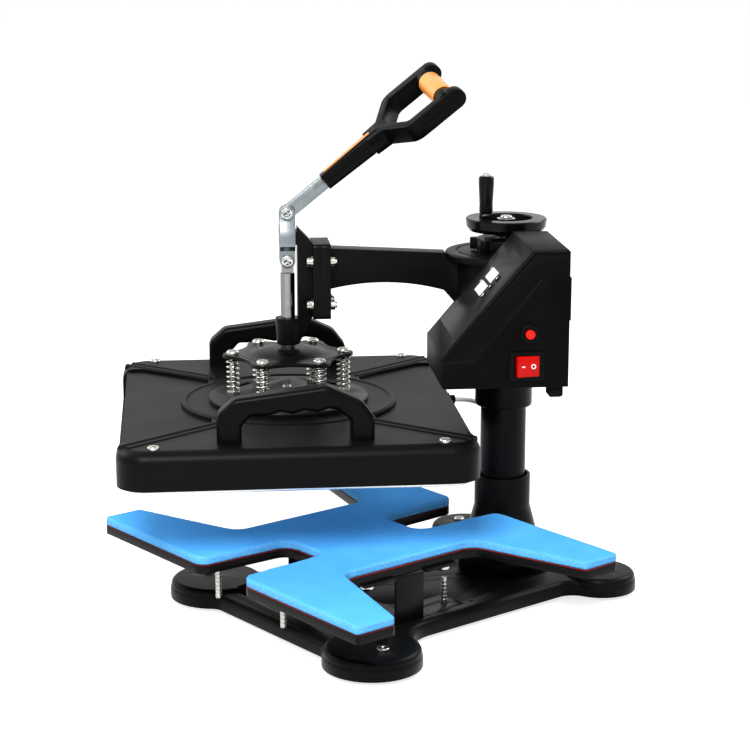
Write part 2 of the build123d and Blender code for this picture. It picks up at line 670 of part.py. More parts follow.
def guide_bush():
    body = rod(BUSH_R, BARREL_Z[0], BARREL_Z[1], 0, -REACH)
    return body - rod(PLUNGER_R + RUN, BARREL_Z[0] - 1, BARREL_Z[1] + 1, 0, -REACH)


def fulcrum_pin():
    return cross_rod(PIVOT_R, -WEB_HALF_W, WEB_HALF_W, -REACH, FULCRUM_Z)


# Lever

UPPER_Z = FULCRUM_Z + CRANK_ARM
LOWER_Z = UPPER_Z - LINK_LEN


def along_lever(shape):
    "Place a shape drawn with X along the lever from the upper pivot, and Z square to it."
    c, s = cos(radians(LEVER_ANGLE)), sin(radians(LEVER_ANGLE))
    return Plane(origin=(0, -REACH, UPPER_Z), x_dir=(0, c, s), z_dir=(0, -s, c)) * shape


def lever_bar():
    crank = cross_rod(7.6, -BAR_HALF_T, BAR_HALF_T, -REACH, FULCRUM_Z)
    crank += slab(-BAR_HALF_T, BAR_HALF_T, -REACH - 7, -REACH + 7, FULCRUM_Z, UPPER_Z)
    crank += cross_rod(8.0, -BAR_HALF_T, BAR_HALF_T, -REACH, UPPER_Z)
    bar = crank + along_lever(slab(0, SHAFT_TO - 12, -BAR_HALF_T, BAR_HALF_T, -BAR_W / 2, BAR_W / 2))
    bar -= cross_rod(PIVOT_R + RUN, -10, 10, -REACH, FULCRUM_Z)
    return bar - cross_rod(PIVOT_R + RUN, -10, 10, -REACH, UPPER_Z)


def loop_outline():
    "The fork behind the shaft and the two arms of the loop, open at the far end."
    half, shaft_half = LOOP_HALF_W, SHAFT_W / 2
    inner_half = half - LOOP_ARM_W
    fork = SHAFT_TO + FORK_LEN
    side = [(SHAFT_TO - 14, shaft_half), (SHAFT_TO + 4, shaft_half + 2), (fork, half), (LOOP_END, half)]
    outer = make_face(Polyline(*side, *[(x, -y) for x, y in reversed(side)], close=True))
    inside = [(SHAFT_TO + 12, 8), (fork + 4, inner_half), (LOOP_END + 1, inner_half)]
    inner = make_face(Polyline(*inside, *[(x, -y) for x, y in reversed(inside)], close=True))
    outer = fillet(corners(outer, fork, half, 1) + corners(outer, fork, -half, 1), 16)
    inner = fillet(inner.vertices().filter_by(lambda v: v.X < LOOP_END), 8)
    return outer - inner


def grip_bar_end():
    return LOOP_END - GRIP_BAR_INSET


def grip_bar():
    "The round cross bar between the loop's arms, with the seat that its insert is moulded on."
    reach = LOOP_HALF_W - LOOP_ARM_W / 2
    bar = Pos(grip_bar_end(), 0, 0) * Rot(90, 0, 0) * Cylinder(GRIP_BAR_R, 2 * reach)
    seat = Cylinder(GRIP_BAR_R + 1, 2 * (INSERT_HALF_X + FIT))
    seat -= Cylinder(GRIP_BAR_R - INSERT_T - FIT, 2 * INSERT_HALF_X + 1)
    return bar - Pos(grip_bar_end(), 0, 0) * Rot(90, 0, 0) * seat


def grip_loop():
    "The loop with the round far ends of its arms and its edges rounded."
    loop = Pos(0, 0, -LOOP_T / 2) * extrude(loop_outline(), LOOP_T)
    end = LOOP_END - LOOP_T / 2
    rounded = slab(SHAFT_FROM, end, -2 * LOOP_HALF_W, 2 * LOOP_HALF_W, -LOOP_T, LOOP_T)
    rounded += Pos(end, 0, 0) * Rot(90, 0, 0) * Cylinder(LOOP_T / 2, 4 * LOOP_HALF_W)
    return loop & rounded


def lever_grip():
    shaft = grip_shaft(0)
    shaft = fillet(shaft.edges().filter_by(lambda e: abs(e.tangent_at(0.5).X) > 0.9), 4)
    loop = Rot(LOOP_ROLL, 0, 0) * (grip_loop() + grip_bar())
    body = shaft + loop
    bar_room = slab(SHAFT_FROM - 1, SHAFT_TO - 12, -BAR_HALF_T - FIT, BAR_HALF_T + FIT,
                    -BAR_W / 2 - FIT, BAR_W / 2 + FIT)
    body -= bar_room
    body -= inlay_block(FIT)
    for side in (-1, 1):
        y0, y1 = sorted((side * (SHAFT_W / 2 - GROOVE), side * (SHAFT_W / 2 + 1)))
        body -= slab(SHAFT_FROM + 5, SHAFT_TO - 8, y0, y1, -GROOVE / 2, GROOVE / 2)
        y0, y1 = sorted((side * (LOOP_HALF_W - GROOVE), side * (LOOP_HALF_W + 1)))
        groove = slab(SHAFT_TO + FORK_LEN + 14, LOOP_END - 12, y0, y1, -GROOVE / 2, GROOVE / 2)
        body -= Rot(LOOP_ROLL, 0, 0) * groove
    return along_lever(body)


def grip_shaft(grow):
    "The shaft, taller at the fork than at its front, or a larger block of its shape."
    low, high = SHAFT_H[0] / 2 + grow, SHAFT_H[1] / 2 + grow
    side = [(SHAFT_FROM, 0, -low), (SHAFT_TO, 0, -high), (SHAFT_TO, 0, high), (SHAFT_FROM, 0, low)]
    face = make_face(Polyline(*side, close=True))
    return extrude(face, amount=SHAFT_W / 2 + grow, dir=(0, 1, 0), both=True)


def inlay_block(grow):
    "The wedge-shaped strip let into the top of the shaft."
    narrow, wide = INLAY_HALF_W[0] + grow, INLAY_HALF_W[1] + grow
    start, end = SHAFT_FROM + 6 - grow, SHAFT_TO - 8 + grow
    plan = make_face(Polyline((start, -narrow), (end, -wide), (end, wide), (start, narrow), close=True))
    return (grip_shaft(INLAY_RISE) - grip_shaft(-INSERT_T - grow)) & extrude(plan, SHAFT_W)


def bar_insert():
    "The soft sleeve on the loop's cross bar."
    sleeve = Cylinder(GRIP_BAR_R + INLAY_RISE, 2 * INSERT_HALF_X)
    sleeve -= Cylinder(GRIP_BAR_R - INSERT_T, 4 * INSERT_HALF_X)
    sleeve = fillet(sleeve.edges().filter_by(GeomType.CIRCLE).sort_by(SortBy.RADIUS)[-2:], 0.6)
    return Pos(grip_bar_end(), 0, 0) * Rot(90, 0, 0) * sleeve


def grip_inlays():
    return along_lever(group([inlay_block(0), Rot(LOOP_ROLL, 0, 0) * bar_insert()]))


# Toggle link and plunger

def link_plates():
    "Two joggled plates that clear the bracket's ears."
    inner = BAR_HALF_T + LINK_GAP
    out = WEB_HALF_W + EAR_GAP
    top, bottom = UPPER_Z + LINK_R, LOWER_Z - LINK_R
    bends = [(inner, 0.173), (out, 0.337), (out, 0.684), (inner, 0.786)]
    steps = [(inner, top)] + [(x, UPPER_Z - share * LINK_LEN) for x, share in bends] + [(inner, bottom)]
    section = steps + [(x + LINK_T, z) for x, z in reversed(steps)]
    face = make_face(Polyline(*[(x, -REACH - LINK_R, z) for x, z in section], close=True))
    strip = extrude(face, amount=2 * LINK_R, dir=(0, 1, 0))
    reach = out + 2 * LINK_T
    shape = cross_rod(LINK_R, 0, reach, -REACH, UPPER_Z) + cross_rod(LINK_R, 0, reach, -REACH, LOWER_Z)
    shape += slab(0, reach, -REACH - LINK_R, -REACH + LINK_R, LOWER_Z, UPPER_Z)
    near = strip & shape
    for z in (UPPER_Z, LOWER_Z):
        near -= cross_rod(PIVOT_R + FIT, 0, reach, -REACH, z)
    return group([near, mirror(near, about=Plane.YZ)])


def link_screws():
    inner = BAR_HALF_T + LINK_GAP
    out = inner + LINK_T
    radius, height, rounding = LINK_HEAD
    upper = cross_rod(PIVOT_R, -out, out, -REACH, UPPER_Z)
    screws = []
    for side in (-1, 1):
        head = cross_rod(radius, out, out + height, -REACH, UPPER_Z)
        head = fillet(head.edges().group_by(Axis.X)[-1], rounding)
        low = cross_rod(radius, out, out + height, -REACH, LOWER_Z)
        low = fillet(low.edges().group_by(Axis.X)[-1], rounding)
        low += cross_rod(PIVOT_R, inner, out, -REACH, LOWER_Z)
        if side < 0:
            head = mirror(head, about=Plane.YZ)
            low = mirror(low, about=Plane.YZ)
        upper += head
        screws.append(low)
    return group([upper] + screws)


def plunger_rod():
    "The rod, with the collar that holds the spider on its lower end."
    z = SPIDER_TOP - SPIDER_T
    body = rod(PLUNGER_R, z - 8, LOWER_Z - SHOULDER_DROP, 0, -REACH) + hexagon(20, z - 6, z, 0, -REACH)
    tongue = cross_rod(LINK_R - 0.4, -BAR_HALF_T, BAR_HALF_T, -REACH, LOWER_Z)
    half = PLUNGER_R - 1.2
    low = LOWER_Z - SHOULDER_DROP - 1
    tongue += slab(-BAR_HALF_T, BAR_HALF_T, -REACH - half, -REACH + half, low, LOWER_Z)
    return body + tongue - cross_rod(PIVOT_R + RUN, -10, 10, -REACH, LOWER_Z)


def spring_points():
    points = []
    for i in range(6):
        a = radians(30 + 60 * i + 60)
        points.append((BOLT_CIRCLE_R * cos(a), -REACH + BOLT_CIRCLE_R * sin(a)))
    return points


def spider_plate():
    corner = BOLT_CIRCLE_R + SPIDER_LOBE_R / cos(radians(30))
    outline = Rot(0, 0, 30) * RegularPolygon(corner, 6)
    outline = fillet(outline.vertices(), SPIDER_LOBE_R)
    scallop, nearest = SPIDER_SCALLOP
    for i in range(6):
        outline -= Rot(0, 0, 60 * i) * Pos(nearest + scallop, 0) * Circle(scallop)
    z0 = SPIDER_TOP - SPIDER_T
    plate = Pos(0, -REACH, z0) * extrude(outline, SPIDER_T)
    plate -= rod(36, z0 - 1, SPIDER_TOP + 1, 0, -REACH)
    top = SPIDER_TOP
    dome = lathe([(PLUNGER_R + FIT, z0 + 4), (20, z0 + 3.6), (32, z0 + 1.5), (38, z0), (42, z0), (42, top),
                  (38, top + 0.6), (31, top + 3.5), (20, top + 6), (PLUNGER_R + FIT, top + 6.6)])
    body = plate + Pos(0, -REACH, 0) * dome
    for x, y in spring_points():
        body -= rod(SPRING_BOLT_R + RUN, z0 - 1, SPIDER_TOP + 1, x, y)
    return body - rod(4.0, z0, SPIDER_TOP + 8, 26, -REACH - 1)


def spring_bolts():
    "Guide bolts from the disc up through the spider, each with the nut that its spring stands on."
    z = COVER_TOP + DISC_T
    bolts = []
    for x, y in spring_points():
        shank = rod(SPRING_BOLT_R, COVER_TOP + 0.5, SPIDER_TOP + 1, x, y)
        nut = hexagon(13, z, z + SPRING_SEAT_T, x, y)
        bolts.append(shank + nut + pan_head(6.6, 3.8, SPIDER_TOP + FIT, x, y))
    return group(bolts)


# Springs, each one unbroken wire

SPRING_LOW = COVER_TOP + DISC_T + SPRING_SEAT_T + SPRING_WIRE / 2 + 0.1
SPRING_HIGH = SPIDER_TOP - SPIDER_T - SPRING_WIRE / 2 - 0.1


def helix_point(turn):
    a = 2 * pi * turn
    rise = (SPRING_HIGH - SPRING_LOW) / SPRING_TURNS
    return Vector(SPRING_R * cos(a), SPRING_R * sin(a), SPRING_LOW + rise * turn)


def helix_tangent(turn):
    a = 2 * pi * turn
    rise = (SPRING_HIGH - SPRING_LOW) / SPRING_TURNS
    return Vector(-2 * pi * SPRING_R * sin(a), 2 * pi * SPRING_R * cos(a), rise).normalized()


def biarc(p0, t0, p1, t1):
    "Two tangent arcs from p0 to p1."
    v = p1 - p0
    t = t0 + t1
    k = 2 * (1 - t0.dot(t1))
    d = (-v.dot(t) + sqrt(v.dot(t)**2 + k * v.dot(v))) / k
    middle = (p0 + p1 + (t0 - t1) * d) * 0.5
    across = (p1 - t1 * d) - (p0 + t0 * d)
    return [TangentArc(p0, middle, tangent=t0), TangentArc(middle, p1, tangent=across)]


def spring_wire():
    arcs = []
    for i in range(int(2 * SPRING_TURNS)):
        a, b = i / 2, (i + 1) / 2
        arcs += biarc(helix_point(a), helix_tangent(a), helix_point(b), helix_tangent(b))
    path = Wire(arcs)
    section = Plane(origin=path @ 0, z_dir=path % 0) * Circle(SPRING_WIRE / 2)
    return sweep(section, path=path)


def spring_gap():
    "The least gap from one turn of wire to the next, measured on points."
    least = 1e9
    for i in range(48):
        for j in range(36, 61):
            gap = (helix_point(i / 48) - helix_point((i + j) / 48)).length - SPRING_WIRE
            least = min(least, gap)
    return least


def press_springs():
    wire = spring_wire()
    return group(Pos(x, y, 0) * wire for x, y in spring_points())


# Platen

def on_platen(shape):
    return Pos(0, -REACH, 0) * shape


def disc_plate():
    z = COVER_TOP
    body = rod(DISC_R, z, z + DISC_T)
    body = fillet(body.edges().group_by(Axis.Z)[-1], 1.2)
    for i in range(4):
        a = 45 + 90 * i
        slot = Rot(0, 0, a) * Pos(66, 0, z + DISC_T / 2) * Box(6, 22, DISC_T + 2)
        slot += Rot(0, 0, a) * Pos(66, 11, z + DISC_T / 2) * Cylinder(5, DISC_T + 2)
        body -= slot
    body = on_platen(body)
    for x, y in spring_points():
        body -= rod(SPRING_BOLT_R + FIT, z - 1, z + DISC_T + 1, x, y)
    for x, y in disc_screw_points():
        body -= rod(M5_R + FIT, z - 1, z + DISC_T + 1, x, y)
    return body


def disc_screw_points():
    turns = [radians(a) for a in (0, 90, 180, 270)]
    return [(DISC_SCREW_R * cos(a), -REACH + DISC_SCREW_R * sin(a)) for a in turns]


def cover_block(grow, z0, z1, edge):
    "A block with the cover's rounded corners, larger or smaller by grow."
    sketch = RectangleRounded(2 * (COVER_HALF_X + grow), 2 * (COVER_HALF_Y + grow), COVER_CORNER_R + grow)
    body = Pos(0, 0, z0) * extrude(sketch, z1 - z0)
    return fillet(body.edges().group_by(Axis.Z)[-1], edge)


RIB_OUTER = (COVER_HALF_X - RIB_INSET[0], COVER_HALF_Y - RIB_INSET[1])


def recess_outline():
    "The sunk panel between the ribs, on the +Y side."
    x0, y0 = RIB_START[0] - 6, RIB_START[1] + 6
    wide = RIB_OUTER[0] - 26
    shoulder = COVER_HALF_Y - 22
    far = COVER_HALF_Y + 20
    right = [(x0, y0), (wide, shoulder), (wide, far)]
    return make_face(Polyline(*right, *[(-x, y) for x, y in reversed(right)], close=True))


def platen_cover():
    body = cover_block(0, COVER_BOTTOM, COVER_TOP, COVER_EDGE_R)
    inner_y = COVER_HALF_Y - PANEL_RECESS
    ring_clear = Circle(RING_R + 4)
    for turn in (0, 180):
        sunk = fillet(recess_outline().vertices(), 8) - ring_clear
        top_cut = Pos(0, 0, COVER_TOP - PANEL_DROP) * extrude(sunk, 20)
        wide = RIB_OUTER[0] - 26
        wall_cut = slab(-wide, wide, inner_y, COVER_HALF_Y + 5, COVER_BOTTOM + 6, COVER_TOP + 5)
        body -= Rot(0, 0, turn) * (top_cut + wall_cut)
    ceiling = COVER_TOP - COVER_WALL - PANEL_DROP
    body -= cover_block(-COVER_WALL - PANEL_RECESS, COVER_BOTTOM - 1, ceiling, 2.5)
    body += rib_bars()
    body = on_platen(body)
    for x, y in corner_screw_points():
        body -= rod(M5_R + FIT, COVER_TOP - 12, COVER_TOP + 5, x, y)
    for x, y in handle_screw_points():
        body -= rod(M5_R + FIT, COVER_TOP - 12, COVER_TOP + 5, x, y)
    for x, y in disc_screw_points():
        body -= rod(M5_R + FIT, COVER_TOP - 2.5, COVER_TOP + 5, x, y)
    return body - long_rod(5.0 + FIT, -REACH + COVER_HALF_Y - 12, -REACH + COVER_HALF_Y + 2, LEAD_X, LEAD_Z)


def rib_bars():
    "Double ribs from the ring out over the cover's corners, and the ring itself."
    dx, dy = RIB_OUTER[0] - RIB_START[0], RIB_OUTER[1] - RIB_START[1]
    angle = degrees(atan2(dy, dx))
    length = hypot(dx, dy)
    z = COVER_TOP - RIB_SINK
    bars = Pos(0, 0, z) * Torus(RING_R, RIB_R)
    for sx in (-1, 1):
        for sy in (-1, 1):
            turn = angle if sx * sy > 0 else -angle
            for side in (-RIB_GAP, RIB_GAP):
                bar = Pos(0, side, 0) * Rot(0, 90, 0) * Cylinder(RIB_R, length)
                middle = Pos(sx * (RIB_START[0] + dx / 2), sy * (RIB_START[1] + dy / 2), z)
                bars += middle * Rot(0, 0, turn) * bar
    return bars & cover_block(RIB_R - RIB_SINK, COVER_BOTTOM, COVER_TOP + RIB_R, COVER_EDGE_R)


def corner_screw_points():
    x, y = COVER_HALF_X - SCREW_INSET[0], COVER_HALF_Y - SCREW_INSET[1]
    return [(sx * x, -REACH + sy * y) for sx in (-1, 1) for sy in (-1, 1)]


def platen_screws():
    "Screws at the cover's corners, on the disc, and up into the handles."
    z = COVER_TOP + DISC_T
    under = COVER_TOP - COVER_WALL - PANEL_DROP
    screws = []
    for x, y in corner_screw_points():
        shank = rod(M5_R, COVER_TOP - 22, COVER_TOP + 1, x, y)
        screws.append(shank + pan_head(*CORNER_HEAD, COVER_TOP, x, y))
    for x, y in disc_screw_points():
        screws.append(pan_head(*SMALL_HEAD, z, x, y) + rod(M5_R, COVER_TOP - 2.4, z + 1, x, y))
    for x, y in handle_screw_points():
        screws.append(rod(M5_R, under - 1, COVER_TOP + 12, x, y) + rod(5.0, under - 3, under, x, y))
    return group(screws)


def heater_plate():
    width, depth = 2 * (COVER_HALF_X - HEATER_INSET), 2 * (COVER_HALF_Y - HEATER_INSET)
    outline = RectangleRounded(width, depth, COVER_CORNER_R - HEATER_INSET)
    body = Pos(0, 0, HEATER_BOTTOM) * extrude(outline, HEATER_T)
    body = on_platen(chamfer(body.edges().group_by(Axis.Z)[0], 1))
    for x, y in corner_screw_points():
        body += rod(6.0, HEATER_BOTTOM + HEATER_T, COVER_TOP - COVER_WALL - PANEL_DROP - AIR, x, y)
        body -= rod(M5_R + FIT, COVER_TOP - 23, COVER_TOP, x, y)
    return body


def heating_element():
    "A serpentine rod clamped on the heater plate."
    half = COVER_HALF_X - ELEMENT_INSET[0]
    pitch = 2 * (COVER_HALF_Y - ELEMENT_INSET[1]) / (ELEMENT_ROWS - 1)
    z = HEATER_BOTTOM + HEATER_T + ROD_R + 0.5
    rows = [(i - (ELEMENT_ROWS - 1) / 2) * pitch for i in range(ELEMENT_ROWS)]
    body = cross_rod(ROD_R, -half, half, rows[0], z)
    for i, y in enumerate(rows[1:]):
        side = 1 if i % 2 == 0 else -1
        bend = Torus(pitch / 2, ROD_R) & slab(0, pitch, -pitch, pitch, -2 * ROD_R, 2 * ROD_R)
        body += Pos(side * half, y - pitch / 2, z) * Rot(0, 0, 90 - 90 * side) * bend
        body += cross_rod(ROD_R, -half, half, y, z)
    return on_platen(body)


def insulation():
    z0 = HEATER_BOTTOM + HEATER_T + 2 * ROD_R + 1
    x, y = COVER_HALF_X - WOOL_INSET[0], COVER_HALF_Y - WOOL_INSET[1]
    return on_platen(slab(-x, x, -y, y, z0, COVER_TOP - COVER_WALL - PANEL_DROP - 3.5))


def handle_screw_points():
    return [(sx * HANDLE_X, -REACH + y) for sx in (-1, 1) for y in HANDLE_LEGS]


def platen_handle():
    outer = make_face(Polyline(*HANDLE_OUTER, close=True))
    outer = fillet(outer.vertices().filter_by(lambda v: v.Y > 1), 13)
    inner = make_face(Polyline(*HANDLE_INNER, close=True))
    inner = fillet(inner.vertices().filter_by(lambda v: v.Y > 1), 5)
    body = Plane.YZ * extrude(outer - inner, HANDLE_T / 2, both=True)
    rims = body.edges().filter_by(lambda e: abs(e.center().X) > HANDLE_T / 2 - 0.1 and e.center().Z > 5)
    body = fillet(rims, 5)
    return Pos(HANDLE_X, 0, COVER_TOP) * body


def near_handle():
    return handle_with_holes(platen_handle())


def far_handle():
    return handle_with_holes(mirror(platen_handle(), about=Plane.YZ))


def handle_with_holes(body):
    body = on_platen(body)
    for x, y in handle_screw_points():
        body -= rod(M5_R + FIT, COVER_TOP - 1, COVER_TOP + 13, x, y)
    return body


GLAND_Y = -REACH + COVER_HALF_Y - PANEL_RECESS


def cover_gland():
    y = GLAND_Y
    body = long_rod(5.0, y - 5, y + GLAND_OUT, LEAD_X, LEAD_Z) + long_rod(7.5, y, y + 4, LEAD_X, LEAD_Z)
    return body - long_rod(LEAD_R + 0.1, y - 6, y + GLAND_OUT - 2, LEAD_X, LEAD_Z)


# Heater lead, from the cover's gland round the back of the post into the control box

LEAD_START = GLAND_Y + GLAND_OUT
LEAD_POINTS = [
    (LEAD_X, LEAD_START, LEAD_Z),
    (LEAD_X, 0.7 * LEAD_START, LEAD_Z),
    (-41.0, 0.37 * LEAD_START, 178.0),
    (-42.0, 0.0, 181.0),
    (-39.0, 22.0, 194.0),
    (-30.0, 40.0, 210.0),
    (-12.0, 50.0, 226.0),
    (8.0, 47.0, 241.0),
    (27.2, 28.0, 257.0),
    (41.6, 22.0, 262.0),
    (53.6, 22.0, 262.0),
]


def lead_radii():
    radii = []
    for a, b, c in zip(LEAD_POINTS, LEAD_POINTS[1:], LEAD_POINTS[2:]):
        first, second = Vector(b) - Vector(a), Vector(c) - Vector(b)
        turn = radians(first.get_angle(second))
        radii.append(0.45 * min(first.length, second.length) / tan(turn / 2))
    return radii


def heater_lead():
    radii = lead_radii()
    path = FilletPolyline(*LEAD_POINTS, radius=radii)
    start = Vector(LEAD_POINTS[0])
    section = Plane(origin=start, z_dir=Vector(LEAD_POINTS[1]) - start) * Circle(LEAD_R)
    body = sweep(section, path=path)
    print("lead: least radius", round(min(radii), 1), "length", round(path.length, 1),
          "volume ratio", round(body.volume / (pi * LEAD_R**2 * path.length), 4))
    return body


def lead_bush():
    x, y, z = LEAD_POINTS[-1]
    return cross_rod(7.0, x, BOX_X[0], y, z) + cross_rod(5.0, BOX_X[0] - 1, BOX_X[0] + BOX_WALL + 2, y, z)


# Control box

def box_profile(inset):
    "The box's side outline as (y, z), drawn in by inset."
    slope = (BOX_TOP - BOX_LIP_TOP) / (BOX_RIDGE_Y - BOX_FRONT)
    tilt = sqrt(1 + slope**2)
    lip = BOX_LIP_TOP - inset * (tilt - slope)
    ridge = BOX_RIDGE_Y + inset * (tilt - 1) / slope
    return [(BOX_FRONT + inset, BOX_BOTTOM + inset), (BOX_FRONT + inset, lip), (ridge, BOX_TOP - inset),
            (BOX_REAR - inset, BOX_TOP - inset), (BOX_REAR - inset, BOX_BOTTOM + inset)]


def slant_place(x, s):
    "A plane on the slanted face, at x and at s along the slope from its lower edge, with Z outward."
    length = hypot(BOX_RIDGE_Y - BOX_FRONT, BOX_TOP - BOX_LIP_TOP)
    c, k = (BOX_RIDGE_Y - BOX_FRONT) / length, (BOX_TOP - BOX_LIP_TOP) / length
    return Plane(origin=(x, BOX_FRONT + s * c, BOX_LIP_TOP + s * k), x_dir=(1, 0, 0), z_dir=(0, -k, c))


PANEL_S = (19.5, 121.5)
PANEL_T = 1.5
PANEL_MARGIN = 5.0
WINDOW_X = (89.0, 124.0)
WINDOW_S = ((66.0, 79.0), (82.5, 95.5))
KEY_X = 135.0
KEY_S = (69.5, 80.3, 91.0)
KEY_R = 3.4
BUTTON = (-4.9, 300.5, 4.6)            # y, z, radius
ROCKER = (-7.5, 269.0, 17.5, 14.3)     # y, z, half width and half height of the bezel
ROCKER_HALF = (11.8, 10.3)


def box_shell():
    near = BOX_X[1] - COVER_PLATE_T
    body = side_plate(box_profile(0), BOX_X[0], near)
    body = fillet(body.edges().filter_by(Axis.X), 2)
    body -= side_plate(box_profile(BOX_WALL), BOX_X[0] + BOX_WALL, near + 1)
    low, high = PANEL_S
    width = near - BOX_X[0] - 2 * PANEL_MARGIN
    place = slant_place((BOX_X[0] + near) / 2, (low + high) / 2)
    body -= place * Pos(0, 0, -PANEL_T / 2) * Box(width + 2 * FIT, high - low + 2 * FIT, PANEL_T + FIT)
    body -= place * Pos(0, 0, -2) * Box(width - 24, high - low - 20, 10)
    x, y, z = LEAD_POINTS[-1]
    body -= cross_rod(5.0 + FIT, BOX_X[0] - 1, BOX_X[0] + BOX_WALL + 1, y, z)
    body -= rod(GLAND_R + FIT, BOX_BOTTOM - 1, BOX_BOTTOM + BOX_WALL + 1, GLAND[0], GLAND[1])
    for y, z in box_screw_points():
        body -= cross_rod(M5_R + FIT, BOX_X[0] - 1, BOX_X[0] + BOX_WALL + 1, y, z)
    count, spacing, height = LOUVRE
    body += slab(BOX_X[0] + 6, near - 2, BOX_REAR, BOX_REAR + 2, FIELD_TOP - 42, FIELD_TOP)
    for i in range(count):
        z = FIELD_TOP - 35 + spacing * i
        body -= slab(BOX_X[0] + 22, near - 18, BOX_REAR - BOX_WALL - 1, BOX_REAR + 3, z, z + height)
    return body


def side_cover():
    near = BOX_X[1]
    body = side_plate(box_profile(0.6), near - COVER_PLATE_T, near)
    outer, inner = box_profile(SEAM_INSET[0])[1:4], box_profile(SEAM_INSET[1])[1:4]
    body -= side_plate(outer + inner[::-1], near - 1.0, near + 1)
    rear, front, bottom = BOX_REAR - 0.6, BOX_FRONT + 0.6, BOX_BOTTOM + 0.6
    field = [(front, bottom), (front, BOX_LIP_TOP - 4), (FIELD_Y[0], BOX_LIP_TOP - 4),
             (FIELD_Y[1], FIELD_TOP), (rear, FIELD_TOP), (rear, bottom)]
    body += side_plate(field, near - 0.5, near + FIELD_T)
    y, z, half_w, half_h = ROCKER
    body -= slab(near - COVER_PLATE_T - 1, near + 2, y - ROCKER_HALF[0] - 1.5, y + ROCKER_HALF[0] + 1.5,
                 z - ROCKER_HALF[1] - 1.5, z + ROCKER_HALF[1] + 1.5)
    by, bz, br = BUTTON
    return body - cross_rod(br + 2.5 + FIT, near - COVER_PLATE_T - 1, near + 2, by, bz)


def display_panel():
    near = BOX_X[1] - COVER_PLATE_T
    low, high = PANEL_S
    width = near - BOX_X[0] - 2 * PANEL_MARGIN
    place = slant_place((BOX_X[0] + near) / 2, (low + high) / 2)
    body = place * Pos(0, 0, -PANEL_T / 2) * Box(width, high - low, PANEL_T)
    for s0, s1 in WINDOW_S:
        at = slant_place(sum(WINDOW_X) / 2, (s0 + s1) / 2)
        body -= at * Box(WINDOW_X[1] - WINDOW_X[0], s1 - s0, 8)
    for s in KEY_S:
        body -= slant_place(KEY_X, s) * Cylinder(KEY_R + AIR, 8)
    return body


def display_windows():
    windows = []
    for s0, s1 in WINDOW_S:
        at = slant_place(sum(WINDOW_X) / 2, (s0 + s1) / 2)
        pane = Box(WINDOW_X[1] - WINDOW_X[0] - 0.1, s1 - s0 - 0.1, PANEL_T)
        windows.append(at * Pos(0, 0, -PANEL_T / 2 - 0.2) * pane)
    return group(windows)


def panel_key(s):
    cap = Pos(0, 0, -1.0) * Cylinder(KEY_R, 4.0)
    stem = Pos(0, 0, -5.5) * Cylinder(1.6, 5.4)
    return slant_place(KEY_X, s) * (cap + stem)


def control_board():
    low, high = PANEL_S
    place = slant_place((BOX_X[0] + BOX_X[1]) / 2 - 2, (low + high) / 2 + 4)
    modules = place * Pos(0, 0, -11.5) * Box(*BOARD)
    for s0, s1 in WINDOW_S:
        at = slant_place(sum(WINDOW_X) / 2, (s0 + s1) / 2)
        modules += at * Pos(0, 0, -6.5) * Box(WINDOW_X[1] - WINDOW_X[0] - 1, s1 - s0 - 1, 9.0)
    for s in KEY_S:
        modules += slant_place(KEY_X, s) * Pos(0, 0, -10.2) * Box(6, 6, 2.0)
    for x in (-BOARD_POST[0], BOARD_POST[0]):
        for y in (-BOARD_POST[1], BOARD_POST[1]):
            modules += place * Pos(x, y, -6.25) * Cylinder(3, 9.5)
    return modules


def power_parts():
    "The relay and the terminal block on the box's floor."
    z = BOX_BOTTOM + BOX_WALL
    width, depth, height = RELAY
    relay = Pos(*RELAY_AT, z + height / 2) * Box(width, depth, height)
    relay += Pos(*RELAY_AT, z + height + 1.5) * Box(width - 8, depth - 10, 3)
    width, depth, height = TERMINALS
    block = Pos(*TERMINALS_AT, z + height / 2) * Box(width, depth, height)
    for i in range(4):
        x = TERMINALS_AT[0] + (i - 1.5) * width / 4
        block -= rod(2.0, z + 6, z + height + 1, x, TERMINALS_AT[1])
    return group([relay, block])


def box_glands():
    "The strain relief for the mains lead, and the bush for the heater lead."
    return group([mains_gland(), lead_bush()])


def mains_gland():
    x, y = GLAND
    z = BOX_BOTTOM
    body = slab(x - 8, x + 8, y - 7, y + 7, z - 12, z)
    body = chamfer(body.edges().group_by(Axis.Z)[0], 2)
    body += rod(GLAND_R, z - 1, z + BOX_WALL + 3, x, y)
    return body - rod(CORD_R, z - 13, z + BOX_WALL + 4, x, y)


def switch_bezel():
    near = BOX_X[1] + FIELD_T
    y, z, half_w, half_h = ROCKER
    body = slab(near, near + 2.0, y - half_w, y + half_w, z - half_h, z + half_h)
    body = fillet(body.edges().filter_by(Axis.X), 2)
    body += slab(near - 18, near + 0.5, y - ROCKER_HALF[0] - 1.4, y + ROCKER_HALF[0] + 1.4,
                 z - ROCKER_HALF[1] - 1.4, z + ROCKER_HALF[1] + 1.4)
    return body - slab(near - 16, near + 3, y - ROCKER_HALF[0] - AIR, y + ROCKER_HALF[0] + AIR,
                       z - ROCKER_HALF[1] - AIR, z + ROCKER_HALF[1] + AIR)


ROCKER_TILT = 9.0


